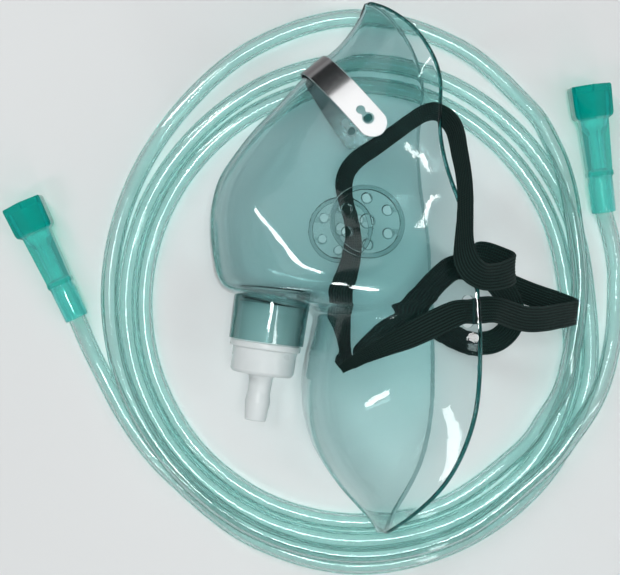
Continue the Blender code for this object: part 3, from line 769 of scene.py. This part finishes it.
def build_clip(mat, surface):
    half = clip_outline(surface)
    rows = [(e, -c, n0, -n1) for e, c, n0, n1 in half[:0:-1]] + half
    run = [0.0]
    for i in range(1, len(rows)):
        run.append(run[-1] + math.hypot(rows[i][0] - rows[i - 1][0], rows[i][1] - rows[i - 1][1]))
    total, r = run[-1], CLIP_WIDTH / 2
    at = []
    s = 0.0
    while s < total - 1e-6:
        at.append(s)
        near = min(s, total - s)
        s += 0.12 if near < 0.6 else (0.3 if near < r + 0.6 else 0.9)
    at.append(total)
    rows = np.array(rows, float)
    fine = [(np.array([np.interp(x, run, rows[:, q]) for q in range(4)]), x) for x in at]
    columns = (-1.0, -0.965, -0.6, -0.2, 0.2, 0.6, 0.965, 1.0)
    verts, faces = [], []
    for (e, c, n0, n1), s in fine:
        d = min(s, total - s)
        wide = r if d >= r else math.sqrt(max(r * r - (r - d) ** 2, 0.4))
        for lift, tuck in ((CLIP_GAP, 0.13), (CLIP_GAP + CLIP_T, -0.13)):
            for v in columns:
                lap = tuck if abs(v) == 1.0 else 0.0
                verts.append(clip_point(e + n0 * (lift + lap), v * wide, c + n1 * (lift + lap)))
    k = len(columns)
    ring = list(range(k)) + [k + q for q in range(k)][::-1]
    n = len(fine)
    for i in range(n - 1):
        for q in range(2 * k):
            p, s = ring[q], ring[(q + 1) % (2 * k)]
            faces.append((i * 2 * k + p, i * 2 * k + s, (i + 1) * 2 * k + s, (i + 1) * 2 * k + p))
    for i in (0, n - 1):
        for q in range(k - 1):
            faces.append(tuple(i * 2 * k + x for x in (q, q + 1, k + q + 1, k + q)))
    m = mask_matrix()
    clip = mesh_object("nose_clip_strip", verts, faces, m, angle=50)
    outline = []
    neck = 0.85
    for centre, r, turn in ((CLIP_HOLE_AT, CLIP_HOLE_R, 0), (CLIP_PEG_AT, CLIP_SLOT_R, 180)):
        gap = math.degrees(math.asin(neck / r))
        for q in range(25):
            t = math.radians(turn + gap + (360 - 2 * gap) * q / 24)
            outline.append((centre + r * math.cos(t), r * math.sin(t)))
    k = len(outline)
    verts = [clip_point(e, v, c) for c in (-45, 45) for e, v in outline]
    faces = [tuple(range(k)), tuple(range(k, 2 * k))]
    faces += [(q, (q + 1) % k, k + (q + 1) % k, k + q) for q in range(k)]
    boolean(clip, mesh_object("clip_keyhole", verts, faces, m, smooth=False), "DIFFERENCE")
    clip.data.shade_smooth()
    clip.data.set_sharp_from_angle(angle=math.radians(30))
    clip.data.materials.clear()
    clip.data.materials.append(mat)
    # painted shade: the metal's colour is darker near the fold
    back = m.inverted()
    layer = clip.data.attributes.new("tint", "FLOAT", "POINT")
    for v, at in zip(layer.data, clip.data.vertices):
        q = back @ (at.co / MM)
        e = (q.x - CLIP_FOLD[0]) * CLIP_RUN[0] + (q.y - CLIP_FOLD[1]) * CLIP_RUN[1]
        v.value = min(1.0, max(0.0, (7.0 - e) / 6.0))
    return clip


# ---------------------------------------------------------------- the white inlet connector
def build_inlet(mat):
    profile = (
        (9.4, -12.6),
        (10.6, -12.6),
        (10.95, -11.8),
        (10.95, 0.35),
        (11.85, 0.35),
        (11.85, 2.3),
        (10.75, 2.6),
        (10.6, 9.9),
        (9.8, 10.9),
        (4.4, 11.2),
        (4.0, 12.0),
        (3.75, 17.0),
        (4.15, 20.2),
        (3.6, 26.0),
        (3.3, 26.4),
        (1.7, 26.4),
        (1.7, 10.0),
        (2.2, 9.3),
        (8.9, 9.3),
        (9.4, 8.8),
    )
    end = Vector((*PORT_TOP, 0)) + Vector((*PORT_DIR, 0)).normalized() * PORT_LENGTH
    m = mask_matrix() @ axis_matrix(end, (*PORT_DIR, 0))
    ob = mesh_object("inlet_connector_body", *turned(rounded(profile, 0.32), 96), m, angle=50)
    ob.data.materials.append(mat)
    return ob


# ---------------------------------------------------------------- the strap
def strap_route():
    slot_a, slot_b = 0.5 * sum(SLOT_A), 0.5 * sum(SLOT_B)
    on_cheek = [
        (9.6, -25.3, 76.5, 0, 0.34),
        (16.1, -21.6, 77.6, 0, 0.52),
        (23.8, -17.9, 78.6, 0, 0.76),
        (30.8, -14.8, 79.0, 0, 0.94),
        (37.6, -11.4, 79.0, 0, 1.0),
    ]
    through = [
        mask_point(slot_a - 5.0, slot_b - 0.8, 39.7),
        (*mask_point(slot_a - 2.0, slot_b, 39.5), 0, 0.92),
        (*mask_point(slot_a + 0.1, slot_b, 37.4), 0, 0.90),
        (*mask_point(slot_a + 2.3, slot_b, 35.3), 0, 0.94),
        mask_point(slot_a + 5.2, slot_b + 0.4, 34.0),
    ]
    right_loop = [
        (58.6, -7.0, 69.0),
        (64.0, -8.6, 63.0),
        (70.0, -10.2, 56.5),
        (76.5, -10.4, 49.5),
        (83.4, -9.7, 41.0),
        (88.9, -9.1, 33.5),
        (92.3, -8.6, 27.0),
        (91.0, -7.4, 21.6),
        (86.2, -5.4, 19.6),
        (80.0, -3.2, 19.4),
        (73.6, -0.8, 20.0),
        (66.8, 1.9, 22.0),
        (60.4, 4.7, 26.0),
        (54.2, 6.5, 31.5),
    ]
    into_mask = [
        (48.1, 6.4, 37.0, 0),
        (42.6, 2.2, 41.5, 0),
        (36.7, -4.2, 44.5, 2),
        (31.2, -9.4, 46.0, 6),
        (24.9, -14.9, 46.2, 14),
        (18.7, -20.3, 45.2, 32),
        (14.4, -24.2, 43.6, 54),
        (12.4, -25.2, 41.0, 68),
        (12.0, -22.8, 38.8, 68),
        (11.6, -18.6, 38.4, 62),
        (10.9, -12.8, 39.4, 46),
        (9.8, -7.4, 41.0, 18),
        (10.4, -1.6, 43.2, 14),
        (12.4, 5.0, 45.3, 30),
        (14.0, 11.2, 46.5, 42),
        (14.4, 17.2, 47.0, 52),
        (13.4, 23.0, 47.5, 56),
        (11.8, 29.0, 48.0, 55),
        (11.2, 34.0, 48.5, 50),
        (12.5, 38.6, 49.0, 46, 0.92),
        (15.9, 42.4, 49.5, 42, 0.88),
        (21.1, 45.9, 50.0, 40, 0.82),
        (26.8, 49.9, 50.6, 40, 0.76),
        (32.5, 54.1, 50.2, 38, 0.74),
        (37.4, 57.2, 49.8, 34, 0.74),
        (41.2, 57.9, 50.4, 28, 0.76),
    ]
    over_rim = [
        (44.2, 55.8, 53.2, 28, 0.80),
        (46.1, 52.5, 58.2, 38, 0.82),
        (46.9, 48.2, 63.6, 48, 0.86),
        (47.4, 42.6, 68.0, 54, 0.88),
        (48.1, 36.6, 71.2, 56, 0.84),
        (48.4, 29.8, 74.4, 55, 0.80),
        (48.0, 22.5, 77.6, 52, 0.80),
        (47.4, 15.6, 80.2, 42, 0.84),
        (47.5, 10.2, 81.6, 24, 0.92),
        (49.2, 6.0, 81.6, 8),
        (53.0, 3.5, 79.4),
        (57.3, 3.3, 75.4),
        (61.7, 4.2, 70.8),
        (64.9, 5.9, 65.6),
        (63.9, 7.6, 61.0),
        (60.8, 9.2, 58.4),
        (57.2, 10.7, 56.0),
        (54.2, 11.1, 52.8),
        (52.9, 10.5, 48.4),
        (54.8, 8.4, 44.2),
        (58.5, 5.5, 41.0),
        (63.0, 1.9, 38.0),
        (67.3, -2.9, 34.0),
        (70.0, -8.5, 29.0),
        (69.9, -13.4, 24.6),
        (67.2, -17.3, 21.4),
        (63.3, -19.4, 18.6),
        (58.7, -19.6, 15.4),
        (54.2, -18.4, 11.6),
        (50.4, -16.4, 8.0),
        (47.2, -14.4, 5.8),
    ]
    return [(*p, 0.0, 1.0)[:4] + (p[4] if len(p) == 5 else 1.0,) for p in on_cheek + through + right_loop + into_mask + over_rim]


def band_frames(line):
    """Direction and width direction along a band that lies as flat as its folds let it."""
    t = np.gradient(line, axis=0)
    t /= np.linalg.norm(t, axis=1)[:, None]
    flat = np.cross([0, 0, 1.0], t)
    size = np.linalg.norm(flat, axis=1)
    sure = size > 0.45
    wide = np.zeros_like(flat)
    last = None
    for i in np.flatnonzero(sure):
        w = flat[i] / size[i]
        if last is not None and w @ last < 0:
            w = -w
        wide[i] = last = w
    idx = np.flatnonzero(sure)
    for k in range(3):
        wide[:, k] = np.interp(np.arange(len(line)), idx, wide[idx, k])
    for _ in range(30):
        wide[1:-1] = 0.25 * wide[:-2] + 0.5 * wide[1:-1] + 0.25 * wide[2:]
    wide -= t * np.sum(wide * t, axis=1)[:, None]
    wide /= np.linalg.norm(wide, axis=1)[:, None]
    return t, wide


def build_strap(mat, steps=330):
    line = even_steps(smooth_through(strap_route(), per=8), steps)
    roll, share = np.radians(line[:, 3]), line[:, 4]
    line = laid(line[:, :3])
    t, wide = band_frames(line)
    face = np.cross(t, wide)
    wide = wide * np.cos(roll)[:, None] + face * np.sin(roll)[:, None]
    face = np.cross(t, wide)
    # ribbed cross-section: the same ribs on both faces
    per_rib = 6
    n = STRAP_RIBS * per_rib
    half = []
    for k in range(n + 1):
        x = -0.5 + k / n
        rib = abs(math.sin(math.pi * STRAP_RIBS * k / n))
        y = 0.5 * STRAP_T * (0.45 + 0.55 * rib**0.7)
        edge = min(1.0, (0.5 - abs(x)) * STRAP_WIDTH / 0.25)
        half.append((x * STRAP_WIDTH, y * (0.35 + 0.65 * edge)))
    loop = half + [(x, -y) for x, y in half[::-1]]
    m = len(loop)
    verts, uvs = [], []
    run = 0.0
    for i, (p, w, f, part) in enumerate(zip(line, wide, face, share)):
        if i:
            run += float(np.linalg.norm(p - line[i - 1]))
        wobble = 0.10 * noise.noise(Vector((run * 0.25, 3.1, 0.0)))
        pull = 1.0 + 0.025 * noise.noise(Vector((run * 0.11, 7.7, 1.0)))
        for x, y in loop:
            curl = wobble * (2 * x / STRAP_WIDTH) ** 2
            verts.append(p + w * x * pull * part + f * (y * (2.0 - part) + curl))
            uvs.append((x * MM, run * MM))
    faces = []
    for i in range(steps - 1):
        for q in range(m):
            r = (q + 1) % m
            faces.append((m * i + q, m * i + r, m * (i + 1) + r, m * (i + 1) + q))
    faces += [tuple(range(m))[::-1], tuple(m * (steps - 1) + q for q in range(m))]
    ob = mesh_object("head_strap_band", verts, faces, angle=60)
    layer = ob.data.uv_layers.new(name="UVMap")
    idx = np.zeros(len(ob.data.loops), np.int32)
    ob.data.loops.foreach_get("vertex_index", idx)
    layer.data.foreach_set("uv", np.array(uvs, np.float32)[idx].ravel())
    ob.data.materials.append(mat)
    return ob, line


# ---------------------------------------------------------------- the supply tubing
def coil_point(theta, r, z):
    t = math.radians(theta)
    return (COIL_AT[0] + r * math.cos(t), COIL_AT[1] + r * math.sin(t), z)


def inside(end, head, depth):
    e, h = Vector(end), Vector(head)
    return tuple(e + (h - e).normalized() * depth)


COIL = (
    (210.0, 95.6, 3.2),
    (225.0, 94.7, 3.2),
    (247.5, 97.4, 3.2),
    (270.0, 99.7, 3.2),
    (292.5, 98.4, 3.2),
    (315.0, 95.7, 3.2),
    (337.5, 90.3, 3.2),
    (360.0, 83.4, 3.2),
    (382.5, 82.4, 3.2),
    (405.0, 82.3, 3.2),
    (427.5, 83.0, 3.2),
    (450.0, 83.7, 3.2),
    (472.5, 82.8, 3.2),
    (495.0, 81.9, 3.2),
    (517.5, 82.6, 3.2),
    (540.0, 84.0, 3.2),
    (562.5, 86.0, 3.2),
    (585.0, 88.15, 3.2),
    (607.5, 89.7, 3.2),
    (630.0, 90.5, 3.2),
    (652.5, 90.4, 3.2),
    (675.0, 89.1, 3.2),
    (697.5, 83.4, 3.2),
    (720.0, 76.4, 3.2),
    (742.5, 74.9, 3.2),
    (765.0, 74.3, 3.2),
    (787.5, 74.8, 3.2),
    (810.0, 75.4, 3.2),
    (832.5, 75.3, 3.2),
    (855.0, 75.3, 3.2),
    (877.5, 76.1, 3.2),
    (900.0, 77.5, 3.2),
    (922.5, 79.5, 3.2),
    (945.0, 81.65, 3.2),
    (967.5, 83.1, 3.2),
    (990.0, 83.8, 3.2),
    (1012.5, 83.6, 3.6),
    (1035.0, 82.5, 4.4),
    (1046.0, 81.6, 7.2),
    (1057.5, 80.9, 9.6),
    (1080.0, 79.8, 9.7),
    (1100.0, 82.2, 9.7),
    (1110.0, 85.7, 9.1),
    (1117.5, 88.6, 6.3),
    (1127.0, 91.6, 3.6),
    (1147.5, 96.4, 3.2),
    (1170.0, 99.7, 3.2),
    (1192.5, 96.5, 3.2),
    (1215.0, 91.9, 3.3),
    (1237.5, 89.7, 5.2),
    (1260.0, 89.5, 6.9),
    (1282.5, 90.2, 8.4),
    (1305.0, 91.3, 9.0),
    (1327.5, 93.5, 8.5),
    (1350.0, 95.1, 8.1),
    (1372.5, 94.6, 8.6),
    (1395.0, 92.5, 9.0),
    (1406.0, 92.9, 9.0),
    (1417.5, 94.2, 8.2),
    (1430.0, 94.3, 5.0),
)


def tube_route():
    """The tube's middle line from inside the left connector to inside the right one."""
    left = [
        inside(LEFT_END, LEFT_HEAD, CONN_BORE_DEPTH - 1),
        inside(LEFT_END, LEFT_HEAD, 7.0),
        inside(LEFT_END, LEFT_HEAD, 0.0),
        (-81.1, -19.2, 4.7),
        (-77.1, -28.0, 3.6),
    ]
    right = [
        (111.3, 3.0, 3.4),
        (110.4, 12.0, 3.9),
        (108.6, 20.0, 4.8),
        inside(RIGHT_END, RIGHT_HEAD, 0.0),
        inside(RIGHT_END, RIGHT_HEAD, 7.0),
        inside(RIGHT_END, RIGHT_HEAD, CONN_BORE_DEPTH - 1),
    ]
    route = left + [coil_point(*p) for p in COIL] + right
    line = smooth_through(route, per=60)
    return laid(even_steps(line, 640))


def build_tube(mat):
    line = tube_route()
    n = len(line)
    t = np.gradient(line, axis=0)
    t /= np.linalg.norm(t, axis=1)[:, None]
    sides_o, sides_i = 72, 56
    outer = [(TUBE_R * math.cos(q), TUBE_R * math.sin(q)) for q in np.linspace(0, 2 * math.pi, sides_o, False)]
    inner = []
    for q in np.linspace(0, 2 * math.pi, sides_i, False):
        r = 2.05
        inner.append((r * math.cos(q), r * math.sin(q)))
    u = np.cross(t[0], [0, 0, 1.0])
    u /= np.linalg.norm(u)
    verts, faces = [], []
    m = sides_o + sides_i
    for i in range(n):
        u = u - t[i] * (u @ t[i])
        u /= np.linalg.norm(u)
        v = np.cross(t[i], u)
        for x, y in outer + inner:
            verts.append(line[i] + u * x + v * y)
    for i in range(n - 1):
        for k in range(sides_o):
            l = (k + 1) % sides_o
            faces.append((i * m + k, i * m + l, (i + 1) * m + l, (i + 1) * m + k))
        for k in range(sides_i):
            l = (k + 1) % sides_i
            o = sides_o
            faces.append((i * m + o + k, (i + 1) * m + o + k, (i + 1) * m + o + l, i * m + o + l))
    # ring-shaped ends, as triangles between the two circles
    for base, flip in ((0, False), ((n - 1) * m, True)):
        a = [(2 * math.pi * k / sides_o, base + k) for k in range(sides_o + 1)]
        b = [(2 * math.pi * k / sides_i, base + sides_o + k) for k in range(sides_i + 1)]
        a[-1] = (2 * math.pi, base)
        b[-1] = (2 * math.pi, base + sides_o)
        i = j = 0
        while i < sides_o or j < sides_i:
            if j == sides_i or (i < sides_o and a[i + 1][0] <= b[j + 1][0]):
                face = (a[i][1], a[i + 1][1], b[j][1])
                i += 1
            else:
                face = (a[i][1], b[j + 1][1], b[j][1])
                j += 1
            faces.append(face[::-1] if not flip else face)
    ob = mesh_object("supply_tube", verts, faces, angle=50)
    ob.data.materials.append(mat)
    return ob, line


def build_connector(name, end, head, mat):
    """Six soft flats, a wide collar at the open mouth and a plain ring where the tube goes in."""
    profile = (
        (CONN_BORE_R, 0.0),
        (4.1, 0.0),
        (4.35, 0.6),
        (4.6, 13.0),
        (5.1, 13.4),
        (5.15, 14.6),
        (4.9, 15.2),
        (5.7, 33.6),
        (7.3, 34.6),
        (7.7, 35.8),
        (8.0, 45.2),
        (7.7, CONN_LENGTH),
        (6.2, CONN_LENGTH),
        (5.4, 36.0),
        (4.2, 31.0),
        (2.0, 28.0),
        (2.0, CONN_BORE_DEPTH + 1.0),
        (CONN_BORE_R, CONN_BORE_DEPTH),
    )

    def flats(t, r, s):
        if r < 4.55 and s < 13.2 or s > 27.0 and r < 0.062 * s + 3.3 and r < 6.3 and r < 4.0 + (s - 27) * 0.12 + 0.6:
            return 1.0
        if s < 12.0 or r <= 4.25:
            return 1.0
        x = (t + math.pi / 6) % (math.pi / 3) - math.pi / 6
        six = math.cos(math.pi / 6) / math.cos(x)
        share = 0.92 if r > 4.55 else 0.0
        return 1.0 + share * (six * 1.035 - 1.0)

    outline = []
    for i, p in enumerate(profile):
        q = profile[(i + 1) % len(profile)]
        outline.append(p)
        far = math.hypot(q[0] - p[0], q[1] - p[1])
        for k in range(1, int(far // 3.0) + 1):
            t = k / (int(far // 3.0) + 1)
            outline.append((p[0] + (q[0] - p[0]) * t, p[1] + (q[1] - p[1]) * t))
    m = axis_matrix(end, Vector(head) - Vector(end))
    m = Matrix.Translation((LAYOUT_X, LAYOUT_Y, 0)) @ m
    shape = turned(rounded(outline, 0.22, 2), 96, flats)
    ob = mesh_object(name, *shape, m, angle=42)
    ob.data.materials.append(mat)
    # the collar and the ring look deeper than the body
    layer = ob.data.attributes.new("tint", "FLOAT", "POINT")
    for v, (_, _, at) in zip(layer.data, shape[0]):
        v.value = 1.0 if at > 33.9 else (0.5 if 13.2 < at < 14.9 else 0.0)
    return ob


# ---------------------------------------------------------------- the room
def set_up_room():
    scene = bpy.context.scene
    cam = bpy.data.cameras.new("camera")
    cam.sensor_fit = "HORIZONTAL"
    cam.sensor_width = 36.0
    cam.lens = 36.0 * 1365.0 / 620.0
    cam.clip_start, cam.clip_end = 0.02, 20.0
    ob = bpy.data.objects.new("camera", cam)
    ob.location = (LAYOUT_X * MM, LAYOUT_Y * MM, 0.500)
    scene.collection.objects.link(ob)
    scene.camera = ob

    n = 3
    verts = [(x, y, -0.15) for x in (-1600, 1600) for y in (-1600, 1600)]
    floor = mesh_object("floor", verts, [(0, 2, 3, 1)], smooth=False, tidy=False)
    f = Nodes("pale_floor")
    v = f.coords()
    soft = f.noise(v, 3.0, 2.0)
    p = f.principled(Roughness=0.75)
    f.link(f.mix(f.span(soft, 0.0, 1.0), (0.70, 0.71, 0.71), (0.74, 0.75, 0.75)), p.inputs["Base Color"])
    f.link(p.outputs[0], f.out.inputs["Surface"])
    floor.data.materials.append(f.mat)

    def lamp(name, at, aim, size, power, colour=(1, 1, 1), turn=0.0):
        data = bpy.data.lights.new(name, "AREA")
        data.shape = "RECTANGLE"
        data.size, data.size_y = size
        data.energy = power
        data.color = colour
        light = bpy.data.objects.new(name, data)
        light.location = at
        light.rotation_mode = "QUATERNION"
        facing = (Vector(aim) - Vector(at)).to_track_quat("-Z", "Y")
        light.rotation_quaternion = facing @ Quaternion((0.0, 0.0, 1.0), math.radians(turn))
        scene.collection.objects.link(light)
        return light

    lamp("strip_left", (-0.51, 0.58, 0.96), (0, 0, 0.03), (0.045, 0.85), 3.7, turn=13)
    lamp("strip_right", (0.62, -0.22, 0.85), (0, 0, 0.03), (0.05, 0.70), 2.1)
    lamp("strip_low", (0.45, -1.32, 0.95), (0, 0, 0.03), (0.10, 1.10), 3.0)
    lamp("strip_top", (0.36, 1.04, 0.98), (0, 0, 0.03), (0.013, 0.30), 0.42)
    lamp("small_c", (-0.58, -0.63, 1.00), (0, 0, 0.03), (0.44, 0.06), 2.1, turn=61)
    lamp("window", (-0.42, 0.92, 1.30), (0, 0, 0.03), (1.10, 1.00), 3.2)
    lamp("small_a", (0.048, -0.012, 1.20), (0, 0, 0.0), (0.14, 0.14), 3.1)
    lamp("small_b", (-0.11, 0.13, 1.20), (0, 0, 0.0), (0.10, 0.10), 1.3)

    world = bpy.data.worlds.new("world")
    scene.world = world
    world.use_nodes = True
    tree = world.node_tree
    tree.nodes.clear()
    add, link = tree.nodes.new, tree.links.new
    out, bg = add("ShaderNodeOutputWorld"), add("ShaderNodeBackground")
    spot, parts, ramp = add("ShaderNodeTexCoord"), add("ShaderNodeSeparateXYZ"), add("ShaderNodeValToRGB")
    link(spot.outputs["Generated"], parts.inputs[0])
    link(parts.outputs["Z"], ramp.inputs[0])
    ramp.color_ramp.elements[0].position = 0.0
    ramp.color_ramp.elements[0].color = (0.38, 0.41, 0.42, 1)
    ramp.color_ramp.elements[1].position = 0.85
    ramp.color_ramp.elements[1].color = (0.10, 0.11, 0.115, 1)
    # one side of the room is darker
    aside, dim, shade = add("ShaderNodeVectorMath"), add("ShaderNodeMapRange"), add("ShaderNodeMix")
    aside.operation = "DOT_PRODUCT"
    aside.inputs[1].default_value = (-0.62, 0.78, 0.0)
    link(spot.outputs["Generated"], aside.inputs[0])
    dim.inputs["From Min"].default_value = 0.35
    dim.inputs["From Max"].default_value = 0.80
    link(aside.outputs["Value"], dim.inputs["Value"])
    shade.data_type = "RGBA"
    link(dim.outputs["Result"], shade.inputs["Factor"])
    link(ramp.outputs[0], shade.inputs[6])
    shade.inputs[7].default_value = (0.03, 0.033, 0.034, 1)
    link(shade.outputs[2], bg.inputs["Color"])
    bg.inputs["Strength"].default_value = 1.0
    link(bg.outputs[0], out.inputs["Surface"])

    scene.view_settings.view_transform = "Standard"
    scene.view_settings.look = "None"
    c = scene.cycles
    c.use_denoising = True
    c.max_bounces = 28
    c.diffuse_bounces = 4
    c.glossy_bounces = 8
    c.transmission_bounces = 26
    c.transparent_max_bounces = 28
    c.caustics_reflective = False
    c.caustics_refractive = True
    c.blur_glossy = 0.4
    c.sample_clamp_indirect = 6.0


# ---------------------------------------------------------------- everything together
def main():
    set_up_room()
    shell_mat = clear_plastic(
        "soft_clear_green",
        (0.980, 0.990, 0.982),
        (0.960, 0.975, 0.967),
        absorb=(0.225, 0.500, 0.515),
        density=372.0,
        rough=(0.012, 0.04),
        waviness=0.0011,
        ior=1.42,
        clear=1.0,
        shade=(0.82, 0.905, 0.90),
        # Painted shade on the rims, vent ring and hole lips, and a deeper colour on the port and pegs, where the
        # shell's "tint" is set.
        edge=(0.03, 0.20, 0.19),
        # Painted light: the shell's colour is lighter towards +Y, from y -0.035 m to 0.045 m.
        painted_light_fade=((0.990, 1.0, 0.995), -0.035, 0.045),
    )
    tube_mat = clear_plastic(
        "clear_green_tube",
        (0.915, 0.935, 0.932),
        (0.880, 0.910, 0.905),
        absorb=(0.24, 0.585, 0.555),
        density=240.0,
        rough=(0.01, 0.03),
        waviness=0.00002,
        ior=1.44,
        clear=0.97,
        shade=(0.84, 0.91, 0.90),
    )
    teal_mat = clear_plastic(
        "teal_soft_connector",
        (0.27, 0.85, 0.82),
        (0.18, 0.76, 0.73),
        absorb=(0.03, 0.75, 0.73),
        density=230.0,
        rough=(0.03, 0.09),
        waviness=0.0005,
        ior=1.46,
        clear=0.72,
        shade=(0.35, 0.80, 0.70),
        edge=(0.0, 0.56, 0.51),
    )
    white_mat = moulded_plastic("white_plastic", (0.60, 0.65, 0.65), (0.66, 0.70, 0.70), (0.26, 0.40), sub=0.15)
    metal_mat = bright_metal("clip_metal")
    elastic_mat = ribbed_elastic("dark_elastic")

    shell, surface = build_shell(shell_mat)
    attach(shell, "mask")
    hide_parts("mask_shell_bridge", "mask_shell_nose", "mask_shell_chin")

    clip = build_clip(metal_mat, surface)
    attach(clip, "mask")
    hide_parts("nose_clip")

    inlet = build_inlet(white_mat)
    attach(inlet, "inlet")
    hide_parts("inlet_connector")

    left = build_connector("tube_connector_a", LEFT_END, LEFT_HEAD, teal_mat)
    right = build_connector("tube_connector_b", RIGHT_END, RIGHT_HEAD, teal_mat)
    for ob, node in ((left, "tube_connector_left"), (right, "tube_connector_right")):
        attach(ob, "mask")
        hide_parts(node)

    tube, tube_line = build_tube(tube_mat)
    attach(tube, "mask")
    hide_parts("tube_coil", "tube_end_left", "tube_end_right")

    strap, strap_line = build_strap(elastic_mat)
    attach(strap, "mask")
    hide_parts("head_strap")


main()
